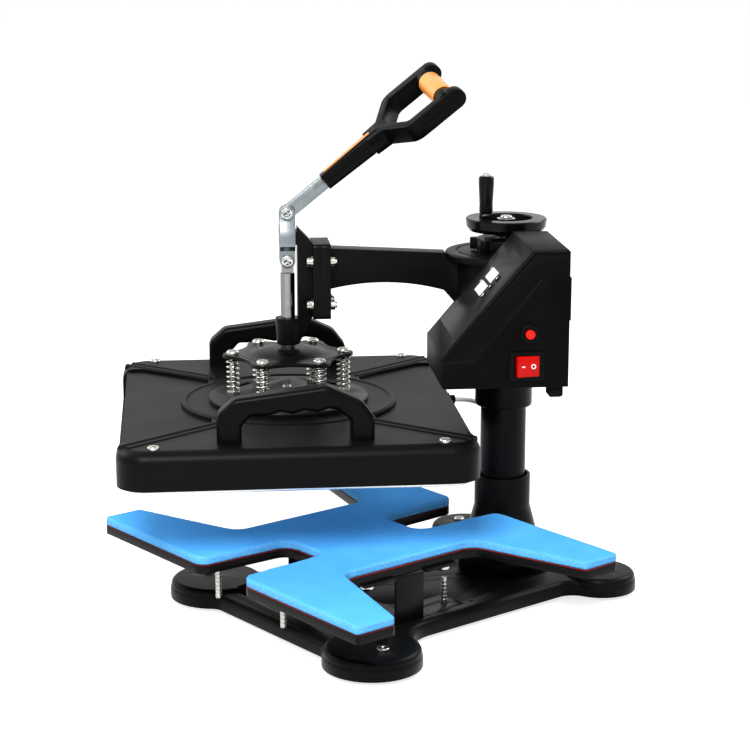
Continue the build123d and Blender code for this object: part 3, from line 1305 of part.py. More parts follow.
def rocker_switch():
    "A rocker whose two faces meet at a shallow angle; the rear half stands out in the off position."
    near = BOX_X[1] + FIELD_T + 2
    y, z, half_w, half_h = ROCKER
    a = ROCKER_HALF[0] - 0.9
    lift = a * tan(radians(ROCKER_TILT))
    top = [(y - a, near + lift), (y, near + 0.6), (y + a, near + lift), (y + a, near - 7), (y - a, near - 7)]
    face = make_face(Polyline(*[(px, py, z - ROCKER_HALF[1] + 0.2) for py, px in top], close=True))
    body = extrude(face, amount=2 * ROCKER_HALF[1] - 0.4, dir=(0, 0, 1))
    pin = rod(2.0, z - ROCKER_HALF[1] + 0.2, z + ROCKER_HALF[1] - 0.2, near - 6, y)
    return Pos(near - 6, y, z) * Rot(0, 0, ROCKER_TILT) * Pos(-(near - 6), -y, -z) * (body + pin)


def button_bezel():
    y, z, r = BUTTON
    near = BOX_X[1] + FIELD_T
    ring = cross_rod(r + 5, near, near + 1.6, y, z)
    ring = fillet(ring.edges().group_by(Axis.X)[-1], 1)
    body = ring + cross_rod(r + 2.5, near - 12, near + 0.5, y, z)
    return body - cross_rod(r + RUN, near - 11, near + 3, y, z)


def push_button():
    y, z, r = BUTTON
    near = BOX_X[1] + FIELD_T
    body = cross_rod(r, near - 6, near + 5, y, z)
    return fillet(body.edges().group_by(Axis.X)[-1], 1)


ROOT = {
    "base_frame": base_frame, "rubber_feet": rubber_feet, "base_screws": base_screws,
    "post_foot": post_foot, "post_tube": post_tube, "post_plug": post_plug,
    "mount_plate": mount_plate, "bridge_bracket": bridge_bracket, "pad_bolts": pad_bolts,
    "threaded_studs": threaded_studs, "pad_plate": pad_plate,
    "pad_film": lambda: pad_layer(PAD_PLATE_TOP, FILM_T, 0.2),
    "foam_pad": lambda: pad_layer(PAD_TOP - FOAM_T, FOAM_T),
}

ON_ARM = {
    "lift_sleeve": lift_sleeve, "lock_collar": lock_collar,
    "handwheel": handwheel, "wheel_spindle": wheel_spindle, "wheel_nut": wheel_nut,
    "crank_pin": crank_pin, "crank_grip": crank_grip,
    "arm_casting": arm_casting, "hub_cap": hub_cap, "arm_bolts": arm_bolts,
    "head_bracket": head_bracket, "guide_bush": guide_bush, "fulcrum_pin": fulcrum_pin,
    "lever_bar": lever_bar, "lever_grip": lever_grip, "grip_inlays": grip_inlays,
    "link_plates": link_plates, "link_screws": link_screws,
    "plunger_rod": plunger_rod, "spider_plate": spider_plate,
    "press_springs": press_springs, "spring_bolts": spring_bolts, "disc_plate": disc_plate,
    "platen_cover": platen_cover, "platen_screws": platen_screws, "heater_plate": heater_plate,
    "heating_element": heating_element, "insulation": insulation,
    "near_handle": near_handle, "far_handle": far_handle,
    "cover_gland": cover_gland, "heater_lead": heater_lead,
    "box_shell": box_shell, "side_cover": side_cover,
    "display_panel": display_panel, "display_windows": display_windows,
    "control_board": control_board, "power_parts": power_parts, "box_glands": box_glands,
    "switch_bezel": switch_bezel, "rocker_switch": rocker_switch,
    "button_bezel": button_bezel, "push_button": push_button,
    "set_key": lambda: panel_key(KEY_S[0]), "down_key": lambda: panel_key(KEY_S[1]),
    "up_key": lambda: panel_key(KEY_S[2]),
}

for name, make in ROOT.items():
    save(name, make())

for name, make in ON_ARM.items():
    save(name, ride(make()))

print("springs: least gap between turns", round(spring_gap(), 2))
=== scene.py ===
"""The shoe heat press, finished for its pictures.

The frame is in metres. The origin is on the post's axis at the bench, -Y is the user's side, +X the
user's right and +Z up. Sizes here are in millimetres unless a comment says metres. Pieces that swing with
the arm are placed as if it stood straight over the pad, and on_arm() turns them to where it stands.
"""
import bmesh
import bpy
import json
from math import cos, hypot, pi, radians, sin
from mathutils import Matrix, Vector, noise

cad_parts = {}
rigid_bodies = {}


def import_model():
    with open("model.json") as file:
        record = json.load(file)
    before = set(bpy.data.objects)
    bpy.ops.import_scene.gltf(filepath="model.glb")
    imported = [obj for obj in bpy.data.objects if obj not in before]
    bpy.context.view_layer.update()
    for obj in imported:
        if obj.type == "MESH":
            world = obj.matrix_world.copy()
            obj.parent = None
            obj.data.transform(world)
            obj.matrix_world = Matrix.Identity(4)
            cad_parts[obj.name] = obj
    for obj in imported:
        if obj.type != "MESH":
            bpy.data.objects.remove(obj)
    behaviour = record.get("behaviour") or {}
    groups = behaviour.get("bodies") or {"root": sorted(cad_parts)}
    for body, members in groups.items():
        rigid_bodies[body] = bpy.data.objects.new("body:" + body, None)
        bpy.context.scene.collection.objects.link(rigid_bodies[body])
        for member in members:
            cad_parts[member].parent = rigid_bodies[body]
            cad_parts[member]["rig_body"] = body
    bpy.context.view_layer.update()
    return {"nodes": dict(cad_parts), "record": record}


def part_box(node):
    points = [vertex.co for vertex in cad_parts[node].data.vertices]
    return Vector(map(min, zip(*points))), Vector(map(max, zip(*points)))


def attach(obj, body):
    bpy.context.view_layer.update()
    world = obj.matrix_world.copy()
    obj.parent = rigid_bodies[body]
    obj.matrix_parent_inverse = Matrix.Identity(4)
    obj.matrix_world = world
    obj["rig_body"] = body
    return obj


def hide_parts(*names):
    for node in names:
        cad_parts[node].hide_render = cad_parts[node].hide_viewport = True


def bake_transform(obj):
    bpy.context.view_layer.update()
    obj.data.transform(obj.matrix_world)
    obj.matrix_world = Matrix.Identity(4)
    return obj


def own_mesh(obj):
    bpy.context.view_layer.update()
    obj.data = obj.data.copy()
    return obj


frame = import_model()
nodes = frame["nodes"]
slot_of = {part["node"]: part["material_slot"] for part in frame["record"]["subparts"]}

MM = 0.001
SWUNG = -33.3         # degrees that the arm stands turned about the post
SWING = Matrix.Rotation(radians(SWUNG), 4, "Z")
REACH = 227.0         # from the post's axis to the plunger's axis
PAD_Y = -202.0        # the middle of the pad and of the tray's plate


def on_arm(x, y, z):
    "A place in the frame, from millimetres with the arm straight over the pad."
    return SWING @ (Vector((x, y, z)) * MM)


# Colours and shader nodes

def srgb(hex_colour):
    "An sRGB hex value as linear red, green, blue and alpha."
    parts = [int(hex_colour[i:i + 2], 16) / 255 for i in (1, 3, 5)]
    return [p / 12.92 if p <= 0.04045 else ((p + 0.055) / 1.055) ** 2.4 for p in parts] + [1.0]


def add(tree, kind, settings=None, **inputs):
    "Add a node. Settings are its own properties, and inputs are values or sockets to link."
    made = tree.nodes.new(kind)
    for name, value in (settings or {}).items():
        setattr(made, name, value)
    for name, value in inputs.items():
        key = int(name[1:]) if name[0] == "_" else name.replace("_", " ")
        socket = made.inputs[key]
        if isinstance(value, bpy.types.NodeSocket):
            tree.links.new(value, socket)
        else:
            socket.default_value = value
    return made


def begin(name):
    "A new material, its tree, its surface shader and the object's own coordinates."
    material = bpy.data.materials.new(name)
    material.use_nodes = True
    tree = material.node_tree
    tree.nodes.clear()
    shader = add(tree, "ShaderNodeBsdfPrincipled")
    add(tree, "ShaderNodeOutputMaterial", Surface=shader.outputs[0])
    place = add(tree, "ShaderNodeTexCoord").outputs["Object"]
    return material, tree, shader, place


def per_metre(size):
    "The scale at which a pattern node's features are about size millimetres across."
    return 1000.0 / size


NOISE_LOW, NOISE_HIGH = 0.3, 0.7    # nearly all of a noise lies between these


def blotches(tree, place, size, low, high, detail=2.0):
    "Soft patches about size millimetres across, as values from low to high."
    pattern = add(tree, "ShaderNodeTexNoise", Vector=place, Scale=per_metre(size), Detail=detail)
    spread = add(tree, "ShaderNodeMapRange", _0=pattern.outputs[0], _1=NOISE_LOW, _2=NOISE_HIGH, _3=low,
                 _4=high)
    return spread.outputs[0]


def mix(tree, share, first, second):
    "One colour to another by share."
    made = add(tree, "ShaderNodeMix", {"data_type": "RGBA"}, _0=share, _6=first, _7=second)
    return made.outputs[2]


def surface(name, dark, light, rough, grain, depth, patch=45.0, coat=0.0, shine=0.08, wander=0.025):
    """A worked surface: two near colours in patches, a roughness that wanders, and a grain.

    Grain is the size of its bumps and depth their height, both in millimetres. Shine is how much it
    reflects head on, where 0.5 is the usual for plastics. Wander is how far the roughness strays.
    """
    material, tree, shader, place = begin(name)
    share = blotches(tree, place, patch, 0.0, 1.0, 4.0)
    tree.links.new(mix(tree, share, srgb(dark), srgb(light)), shader.inputs["Base Color"])
    uneven = blotches(tree, place, patch, rough - wander, rough + wander)
    tree.links.new(uneven, shader.inputs["Roughness"])
    bumps = add(tree, "ShaderNodeTexNoise", Vector=place, Scale=per_metre(grain), Detail=3.0)
    bump = add(tree, "ShaderNodeBump", Height=bumps.outputs[0], Distance=depth * MM, Strength=1.0)
    tree.links.new(bump.outputs[0], shader.inputs["Normal"])
    shader.inputs["Specular IOR Level"].default_value = shine
    shader.inputs["Coat Weight"].default_value = coat
    shader.inputs["Coat Roughness"].default_value = 0.2
    return material


LINE_DRAW = 0.04      # a line's width over its length, on worked metal
METAL_PATCH = 12.0
METAL_WANDER = 0.06


def brushed(name, dark, light, rough, line, along, depth=0.004):
    """Metal with fine lines, line millimetres wide, that run along an axis: 0 for X, 1 for Y and 2 for Z.

    Depth is their height in millimetres.
    """
    material, tree, shader, place = begin(name)
    squeeze = [1.0, 1.0, 1.0]
    squeeze[along] = LINE_DRAW
    lines_at = add(tree, "ShaderNodeMapping", Vector=place, Scale=squeeze).outputs[0]
    lines = add(tree, "ShaderNodeTexNoise", Vector=lines_at, Scale=per_metre(line), Detail=4.0)
    tree.links.new(mix(tree, lines.outputs[0], srgb(dark), srgb(light)), shader.inputs["Base Color"])
    uneven = blotches(tree, place, METAL_PATCH, rough - METAL_WANDER, rough + METAL_WANDER)
    tree.links.new(uneven, shader.inputs["Roughness"])
    bump = add(tree, "ShaderNodeBump", Height=lines.outputs[0], Distance=depth * MM, Strength=1.0)
    tree.links.new(bump.outputs[0], shader.inputs["Normal"])
    shader.inputs["Metallic"].default_value = 1.0
    return material


FOAM_SKIN = ("#47a4f0", "#51acf6")
# The cut edge's two blues: the darker is painted shade in the pores' hollows, the lighter is their rims
FOAM_CUT_PORE_SHADE = ("#3d94de", "#5fb0ee")
FOAM_PATCH = 30.0
FOAM_PORE = 1.6
FOAM_SKIN_GRAIN = 1.1
FOAM_RELIEF = 0.35


def sponge_foam():
    """"Closed-cell silicone sponge, cut from sheet: a fine skin on top and open pores on the cut edge,
    their hollows painted darker as shade."
    """
    material, tree, shader, place = begin("silicone_sponge_foam")
    turned = add(tree, "ShaderNodeNewGeometry").outputs["Normal"]
    upward = add(tree, "ShaderNodeSeparateXYZ", Vector=turned).outputs["Z"]
    edge = add(tree, "ShaderNodeMapRange", _0=upward, _1=0.55, _2=0.9, _3=1.0, _4=0.0).outputs[0]
    pores = add(tree, "ShaderNodeTexVoronoi", Vector=place, Scale=per_metre(FOAM_PORE), Randomness=1.0)
    shallow = pores.outputs["Distance"]
    # Painted shade, partly: the pores are the foam's own texture, and their hollows are coloured darker
    # than their rims, as shade falls in them, besides being sunk by the bump
    pore_depth_and_shade = add(tree, "ShaderNodeMapRange", _0=shallow, _1=0.1, _2=0.5, _3=0.0, _4=1.0)
    skin = mix(tree, blotches(tree, place, FOAM_PATCH, 0.0, 1.0, 5.0), *map(srgb, FOAM_SKIN))
    cut = mix(tree, pore_depth_and_shade.outputs[0], *map(srgb, FOAM_CUT_PORE_SHADE))
    tree.links.new(mix(tree, edge, skin, cut), shader.inputs["Base Color"])
    fine = add(tree, "ShaderNodeTexNoise", Vector=place, Scale=per_metre(FOAM_SKIN_GRAIN), Detail=4.0)
    height = add(tree, "ShaderNodeMix", {"data_type": "FLOAT"}, _0=edge, _2=fine.outputs[0],
                 _3=pore_depth_and_shade.outputs[0])
    bump = add(tree, "ShaderNodeBump", Height=height.outputs[0], Distance=FOAM_RELIEF * MM, Strength=0.8)
    tree.links.new(bump.outputs[0], shader.inputs["Normal"])
    shader.inputs["Roughness"].default_value = 0.85
    shader.inputs["Specular IOR Level"].default_value = 0.12
    return material


INNER_RED = "#b80703"
RED_PATCH = 9.0


def clear_red(name, colour):
    "Dyed polycarbonate, moulded and polished, with a second red in soft patches as if deeper inside."
    material, tree, shader, place = begin(name)
    deep = mix(tree, blotches(tree, place, RED_PATCH, 0.0, 1.0), srgb(colour), srgb(INNER_RED))
    tree.links.new(deep, shader.inputs["Base Color"])
    shader.inputs["Roughness"].default_value = 0.22
    shader.inputs["Specular IOR Level"].default_value = 0.14
    return material


# Powder coat on cast metal: black, satin, with a fine orange peel
CAST_COAT = surface("powder_coat_on_casting", "#060606", "#090909", 0.36, 2.2, 0.04, shine=0.065)
# The same coat on sheet steel is smoother and a little glossier
SHEET_COAT = surface("powder_coat_on_sheet", "#080808", "#0b0b0b", 0.32, 1.4, 0.015, shine=0.08)
# Spark-eroded ABS, as injection-moulded housings have it: even, dull, with a fine grain
MOULDED_ABS = surface("spark_eroded_abs", "#030303", "#050505", 0.42, 0.9, 0.02, shine=0.04)
# The stamped cover is sprayed with a soft heat-proof enamel
HEAT_ENAMEL = surface("heat_proof_enamel", "#070707", "#090909", 0.4, 1.2, 0.01, patch=70.0, shine=0.055)
# Glass-filled nylon, moulded smooth and rubbed by hands
MOULDED_NYLON = surface("glass_filled_nylon", "#050505", "#070707", 0.34, 1.6, 0.012, shine=0.05)
# Polished phenolic on the handwheel and its grip
PHENOLIC = surface("polished_phenolic", "#040404", "#060606", 0.22, 4.0, 0.006, shine=0.1)
# Rubber feet, dull from the mould
FOOT_RUBBER = surface("moulded_rubber", "#101010", "#181818", 0.7, 1.0, 0.04)
# Dull zinc on the lever's rolled bar and the links, grey with rolling lines
ZINC_BAR = brushed("zinc_on_rolled_bar", "#686e71", "#8d9396", 0.36, 1.2, 2)
# Bright zinc on screws and studs, faintly yellow, with fine turning lines
ZINC_SCREW = brushed("bright_zinc_on_screws", "#a4a39c", "#cfcdc4", 0.22, 0.5, 2, 0.002)
# Polished chrome on the link screws, domed nuts and pins, near a mirror
CHROME = brushed("polished_chrome_plate", "#a7a9ab", "#c9cbcc", 0.12, 2.0, 2, 0.0005)
# Nickel on drawn spring wire, bright along its coils
SPRING_STEEL = brushed("nickel_on_spring_wire", "#a5a39d", "#cbc9c3", 0.17, 0.6, 2, 0.001)
# Ground and hard-chromed rod, darker than chrome on screws
HARD_CHROME = brushed("hard_chrome_on_rod", "#606264", "#8b8e90", 0.14, 5.0, 2, 0.0006)
# Turned brass of the post's plug, yellow with tool lines
TURNED_BRASS = brushed("turned_brass", "#a5813c", "#cfae62", 0.25, 0.4, 2)
# Sintered bronze bush, dark with oil
OILED_BRONZE = brushed("oil_soaked_bronze", "#2a241d", "#3c332a", 0.4, 0.6, 2)
# Milled aluminium of the heated plate, pale with cutter lines
PLATE_ALUMINIUM = brushed("milled_aluminium", "#b9bcbe", "#dcdee0", 0.34, 0.7, 0)
# Steel of the heating rod, dulled and browned by heat
DARK_ELEMENT = brushed("heat_dulled_steel", "#4a4440", "#6d6660", 0.45, 0.8, 0)
# Thin red film that holds the foam, near black to red in broad patches
ADHESIVE_FILM = surface("red_adhesive_film", "#1c0b0a", "#8a2218", 0.45, 1.0, 0.02, patch=110.0)
# Glossy orange inlays of the grip
LACQUER_ORANGE = surface("orange_soft_touch", "#f08a2c", "#f79a3e", 0.3, 3.0, 0.008, coat=0.3, shine=0.4)
# Silicone jacket of the heater lead, cream-white
JACKET_SILICONE = surface("extruded_silicone_jacket", "#dedbd0", "#eae8df", 0.5, 2.0, 0.02, shine=0.4)
# Matt black film over the display's board, with no grain to see
PANEL_FILM = surface("matt_polyester_film", "#111112", "#131314", 0.36, 0.5, 0.004)
# Milky film over the unlit digits, plain and pale
WINDOW_FILM = surface("milky_window_film", "#e2e0dc", "#e6e4e0", 0.35, 2.0, 0.002, shine=0.3)
# Screen-printed marks, flat white ink
MARK_INK = surface("white_screen_ink", "#dededc", "#eeeeec", 0.5, 0.5, 0.004, patch=3.0, shine=0.4)
# Resin of the printed circuit board, glossy green
BOARD_RESIN = surface("green_board_resin", "#1d5a33", "#2a7342", 0.3, 0.8, 0.01, shine=0.4)
# Pressed ceramic fibre over the heating rod, chalky and rough
WOOL_BOARD = surface("ceramic_fibre_board", "#d9d4c8", "#efebe0", 0.95, 0.9, 0.12, patch=10.0)
# Clear red polycarbonate, polished: the rocker's is deep and the button's lighter
ROCKER_RED = clear_red("polished_polycarbonate", "#ac0301")
BUTTON_RED = clear_red("polished_button_red", "#e21c15")
# Blue foam of the shoe pad
FOAM = sponge_foam()


# Meshes

def link_object(name, data):
    "A new object in the scene from a mesh, a curve, a lamp or a camera."
    piece = bpy.data.objects.new(name, data)
    bpy.context.scene.collection.objects.link(piece)
    return piece


def baked(piece):
    "Turn a piece with its modifiers into a plain mesh."
    graph = bpy.context.evaluated_depsgraph_get()
    mesh = bpy.data.meshes.new_from_object(piece.evaluated_get(graph), depsgraph=graph)
    piece.modifiers.clear()
    if piece.type == "MESH":
        piece.data = mesh
        return piece
    name = piece.name
    bpy.data.objects.remove(piece)
    return link_object(name, mesh)


def smooth(piece, angle=32.0):
    "Shade a mesh smooth, except over edges sharper than angle degrees."
    piece.data.shade_smooth()
    piece.data.set_sharp_from_angle(angle=radians(angle))


def dress(piece, finish, body, slot, *replaced):
    """"Give a finished piece its material and its body, and hide the solids that it stands for." """
    piece.data.materials.clear()
    piece.data.materials.append(finish)
    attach(piece, body)
    if replaced:
        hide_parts(*replaced)
    return piece


SAME_POINT = 0.002    # corners of triangles nearer than this are one
FLAT_ANGLE = 0.4      # degrees up to which neighbouring triangles are one face


def merged_copy(name):
    "A solid's mesh with its loose triangles joined and its flat faces made whole."
    shape = bmesh.new()
    shape.from_mesh(nodes[name].data)
    bmesh.ops.remove_doubles(shape, verts=shape.verts, dist=SAME_POINT * MM)
    bmesh.ops.dissolve_limit(shape, angle_limit=radians(FLAT_ANGLE), verts=shape.verts, edges=shape.edges)
    mesh = bpy.data.meshes.new(name + "_skin")
    shape.to_mesh(mesh)
    shape.free()
    return link_object(name + "_skin", mesh)


def body_of_node(name):
    "The body that a solid rides on."
    return nodes[name]["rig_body"]


SHARP_EDGE = 38.0     # degrees from which an edge is broken


def eased(name, width, finish):
    "A solid with its sharp edges broken by width millimetres, as casting or moulding leaves them."
    piece = merged_copy(name)
    edge = piece.modifiers.new("broken_edges", "BEVEL")
    edge.width = width * MM
    edge.segments = 2
    edge.limit_method = "ANGLE"
    edge.angle_limit = radians(SHARP_EDGE)
    edge.use_clamp_overlap = True
    piece = baked(piece)
    smooth(piece)
    return dress(piece, finish, body_of_node(name), slot_of[name], name)


def paint(name, finish):
    "Keep a solid as it is, with a better material."
    mesh = nodes[name].data
    mesh.materials.clear()
    mesh.materials.append(finish)


# The solids that get broken edges: how wide in millimetres, and the finish
EASED = {
    "base_frame": (0.8, CAST_COAT), "post_foot": (0.8, CAST_COAT), "mount_plate": (0.4, SHEET_COAT),
    "bridge_bracket": (0.5, SHEET_COAT), "pad_plate": (0.6, SHEET_COAT),
    "lift_sleeve": (0.6, CAST_COAT), "arm_casting": (1.4, CAST_COAT), "hub_cap": (0.8, CAST_COAT),
    "head_bracket": (1.0, CAST_COAT), "lock_collar": (0.8, MOULDED_NYLON),
    "box_shell": (1.3, MOULDED_ABS), "side_cover": (0.7, MOULDED_ABS),
    "display_panel": (0.25, PANEL_FILM),
    "switch_bezel": (0.4, MOULDED_NYLON), "button_bezel": (0.3, MOULDED_NYLON),
    "rocker_switch": (0.5, ROCKER_RED),
    "spider_plate": (0.7, SHEET_COAT), "disc_plate": (0.4, SHEET_COAT), "link_plates": (0.5, ZINC_BAR),
    "lever_bar": (0.7, ZINC_BAR), "lever_grip": (3.2, MOULDED_NYLON),
    "heater_plate": (0.5, PLATE_ALUMINIUM),
    "box_glands": (0.5, MOULDED_NYLON), "cover_gland": (0.4, MOULDED_NYLON),
    "grip_inlays": (0.3, LACQUER_ORANGE),
}

# The solids that stay as they are, and their finish
PAINTED = {
    "rubber_feet": FOOT_RUBBER, "post_tube": CAST_COAT, "post_plug": TURNED_BRASS,
    "pad_film": ADHESIVE_FILM, "pad_bolts": CHROME, "handwheel": PHENOLIC,
    "wheel_spindle": HARD_CHROME, "wheel_nut": CHROME, "crank_pin": CHROME, "crank_grip": PHENOLIC,
    "guide_bush": OILED_BRONZE, "fulcrum_pin": CHROME, "plunger_rod": HARD_CHROME,
    "platen_cover": HEAT_ENAMEL, "heating_element": DARK_ELEMENT, "insulation": WOOL_BOARD,
    "display_windows": WINDOW_FILM, "control_board": BOARD_RESIN, "power_parts": MOULDED_NYLON,
    "push_button": BUTTON_RED,
    "near_handle": MOULDED_NYLON, "far_handle": MOULDED_NYLON,
    "set_key": PANEL_FILM, "down_key": PANEL_FILM, "up_key": PANEL_FILM,
}


# Screws: the solids' heads get their cross recess from cutters that a node tree lays on points

UP = Vector((0, 0, 1))
RECESS_DEPTH = 2.6
BLADE_LENGTH = 1.15   # of the head's radius
BLADE_WIDTH = 0.26    # of the head's radius

# Where the heads' faces stand: a ring's radius or a distance either side of the middle, and the height
SPRING_BOLT_RING, SPRING_BOLT_TOP = 57.5, 252.2
DISC_SCREW_RING, DISC_SCREW_TOP = 30.0, 206.8
CORNER_SCREW_X, CORNER_SCREW_Y, CORNER_SCREW_TOP = 187, 139.5, 202.2
LINK_SCREW_X, LINK_SCREW_HEIGHTS = 10.4, (394.5, 345.5)
ARM_BOLT_X, ARM_BOLT_Y, ARM_BOLT_HEIGHTS = 17, -208.3, (301, 346)
BASE_SCREW_PLACES, BASE_SCREW_TOP = [(144, -282), (-144, -282), (117, 43), (-117, 43)], 25.9


def recess_tree():
    "A node tree that lays a cross of two blades on each point, turned to the point's own axis."
    tree = bpy.data.node_groups.new("cross_recess", "GeometryNodeTree")
    face = tree.interface
    face.new_socket("Geometry", in_out="INPUT", socket_type="NodeSocketGeometry")
    face.new_socket("Blade length", in_out="INPUT", socket_type="NodeSocketFloat")
    face.new_socket("Blade width", in_out="INPUT", socket_type="NodeSocketFloat")
    face.new_socket("Depth", in_out="INPUT", socket_type="NodeSocketFloat")
    face.new_socket("Geometry", in_out="OUTPUT", socket_type="NodeSocketGeometry")
    given = tree.nodes.new("NodeGroupInput")
    length, width, depth = given.outputs[1], given.outputs[2], given.outputs[3]
    sizes = [
        add(tree, "ShaderNodeCombineXYZ", X=length, Y=width, Z=depth),
        add(tree, "ShaderNodeCombineXYZ", X=width, Y=length, Z=depth),
    ]
    blades = [add(tree, "GeometryNodeMeshCube", Size=size.outputs[0]).outputs[0] for size in sizes]
    cross = add(tree, "GeometryNodeMeshBoolean", {"operation": "UNION"})
    for blade in blades:
        tree.links.new(blade, cross.inputs[1])
    axis = add(tree, "GeometryNodeInputNamedAttribute", {"data_type": "FLOAT_VECTOR"}, Name="axis")
    turn = add(tree, "FunctionNodeAlignRotationToVector", {"axis": "Z"}, Vector=axis.outputs[0])
    laid = add(tree, "GeometryNodeInstanceOnPoints", Points=given.outputs[0], Instance=cross.outputs[0],
               Rotation=turn.outputs[0])
    real = add(tree, "GeometryNodeRealizeInstances", Geometry=laid.outputs[0])
    coat = add(tree, "GeometryNodeSetMaterial", Geometry=real.outputs[0], Material=ZINC_SCREW)
    add(tree, "NodeGroupOutput", Geometry=coat.outputs[0])
    return tree


def give_inputs(modifier, **values):
    "Set a node tree's inputs by name, through their identifiers."
    for item in modifier.node_group.interface.items_tree:
        key = getattr(item, "name", "").replace(" ", "_")
        if getattr(item, "in_out", "") == "INPUT" and key in values:
            modifier[item.identifier] = values[key]


def points_with_axes(name, heads):
    "Loose points that each carry the direction in which their screw or rod stands."
    mesh = bpy.data.meshes.new(name)
    mesh.from_pydata([tuple(at) for at, _ in heads], [], [])
    axes = mesh.attributes.new("axis", "FLOAT_VECTOR", "POINT")
    for i, (_, axis) in enumerate(heads):
        axes.data[i].vector = axis
    return link_object(name, mesh)


def recessed(name, heads, head_radius, finish):
    "A node of screws with a cross cut into each head."
    cutter = points_with_axes(name + "_cutter", heads)
    laid = cutter.modifiers.new("recess", "NODES")
    laid.node_group = RECESS
    radius = head_radius * MM
    give_inputs(laid, Blade_length=radius * BLADE_LENGTH, Blade_width=radius * BLADE_WIDTH,
                Depth=RECESS_DEPTH * MM)
    cutter = baked(cutter)
    piece = merged_copy(name)
    cut = piece.modifiers.new("cut", "BOOLEAN")
    cut.operation = "DIFFERENCE"
    cut.solver = "EXACT"
    cut.object = cutter
    piece = baked(piece)
    bpy.data.objects.remove(cutter)
    smooth(piece)
    return dress(piece, finish, body_of_node(name), slot_of[name], name)


RECESS = recess_tree()


def ring(count, radius, start, z):
    "Places on a circle about the plunger's axis."
    turns = [radians(start) + 2 * pi * i / count for i in range(count)]
    return [on_arm(radius * cos(a), -REACH + radius * sin(a), z) for a in turns]


def screws():
    "Cross recesses in every screw that has a bare head."
    springs_at = ring(count=6, radius=SPRING_BOLT_RING, start=30.0, z=SPRING_BOLT_TOP)
    recessed("spring_bolts", [(at, UP) for at in springs_at], 6.6, ZINC_SCREW)
    corners_at = [on_arm(x, -REACH + y, CORNER_SCREW_TOP) for x in (-CORNER_SCREW_X, CORNER_SCREW_X)
                  for y in (-CORNER_SCREW_Y, CORNER_SCREW_Y)]
    disc_at = ring(count=4, radius=DISC_SCREW_RING, start=0.0, z=DISC_SCREW_TOP)
    recessed("platen_screws", [(at, UP) for at in corners_at + disc_at], 5.4, ZINC_SCREW)
    across = (SWING @ Vector((1, 0, 0))).to_3d()
    links_at = [on_arm(x, -REACH, z) for x in (-LINK_SCREW_X, LINK_SCREW_X) for z in LINK_SCREW_HEIGHTS]
    recessed("link_screws", [(at, across) for at in links_at], 6.4, CHROME)
    fore = (SWING @ Vector((0, -1, 0))).to_3d()
    bolts_at = [on_arm(x, ARM_BOLT_Y, z) for x in (-ARM_BOLT_X, ARM_BOLT_X) for z in ARM_BOLT_HEIGHTS]
    recessed("arm_bolts", [(at, fore) for at in bolts_at], 5.0, ZINC_SCREW)
    feet_at = [Vector((x, y, BASE_SCREW_TOP)) * MM for x, y in BASE_SCREW_PLACES]
    recessed("base_screws", [(at, UP) for at in feet_at], 6.0, ZINC_SCREW)


# Threads

THREAD_RADIUS = 3.1   # just proud of the solid studs
THREAD_PITCH = 0.8
STUD_X, STUD_BACK, STUD_FOOT, STUD_HEIGHT = 61, 67.5, 14.0, 25.5    # behind the pad's middle
PIN_X, PIN_Y, PIN_FOOT, PIN_HEIGHT = 54, -331, 31.5, 34.0


def thread_tree():
    "A node tree that winds a thread round a core on each point."
    tree = bpy.data.node_groups.new("wound_thread", "GeometryNodeTree")
    face = tree.interface
    face.new_socket("Geometry", in_out="INPUT", socket_type="NodeSocketGeometry")
    for name in ("Radius", "Height", "Pitch"):
        face.new_socket(name, in_out="INPUT", socket_type="NodeSocketFloat")
    face.new_socket("Geometry", in_out="OUTPUT", socket_type="NodeSocketGeometry")
    given = tree.nodes.new("NodeGroupInput")
    radius, height, pitch = given.outputs[1], given.outputs[2], given.outputs[3]

    def reckoned(operation, first, second):
        return add(tree, "ShaderNodeMath", {"operation": operation}, _0=first, _1=second).outputs[0]

    half_pitch = reckoned("MULTIPLY", pitch, 0.5)
    root = reckoned("SUBTRACT", radius, half_pitch)
    wound_height = reckoned("SUBTRACT", height, pitch)
    turns = reckoned("DIVIDE", wound_height, pitch)
    wound = add(tree, "GeometryNodeCurveSpiral", Resolution=20, Rotations=turns, Start_Radius=root,
                End_Radius=root, Height=wound_height)
    tooth = add(tree, "GeometryNodeCurvePrimitiveCircle", Resolution=4, Radius=half_pitch)
    thread = add(tree, "GeometryNodeCurveToMesh", Curve=wound.outputs[0], Profile_Curve=tooth.outputs[0],
                 Fill_Caps=True)
    core = add(tree, "GeometryNodeMeshCylinder", Vertices=24, Radius=root, Depth=height)
    middle = add(tree, "ShaderNodeCombineXYZ", Z=reckoned("MULTIPLY", height, 0.5))
    stood = add(tree, "GeometryNodeTransform", Geometry=core.outputs[0], Translation=middle.outputs[0])
    both = add(tree, "GeometryNodeJoinGeometry")
    tree.links.new(thread.outputs[0], both.inputs[0])
    tree.links.new(stood.outputs[0], both.inputs[0])
    laid = add(tree, "GeometryNodeInstanceOnPoints", Points=given.outputs[0], Instance=both.outputs[0])
    real = add(tree, "GeometryNodeRealizeInstances", Geometry=laid.outputs[0])
    coat = add(tree, "GeometryNodeSetMaterial", Geometry=real.outputs[0], Material=ZINC_SCREW)
    add(tree, "NodeGroupOutput", Geometry=coat.outputs[0])
    return tree


def threads(name, places, height):
    "Threaded rods on the stand, upright at places, each a point in millimetres."
    points = points_with_axes(name, [(Vector(at) * MM, UP) for at in places])
    wound = points.modifiers.new("thread", "NODES")
    wound.node_group = THREAD
    give_inputs(wound, Radius=THREAD_RADIUS * MM, Height=height * MM, Pitch=THREAD_PITCH * MM)
    piece = baked(points)
    smooth(piece, 25.0)
    return dress(piece, ZINC_SCREW, "stand", slot_of["threaded_studs"])


THREAD = thread_tree()


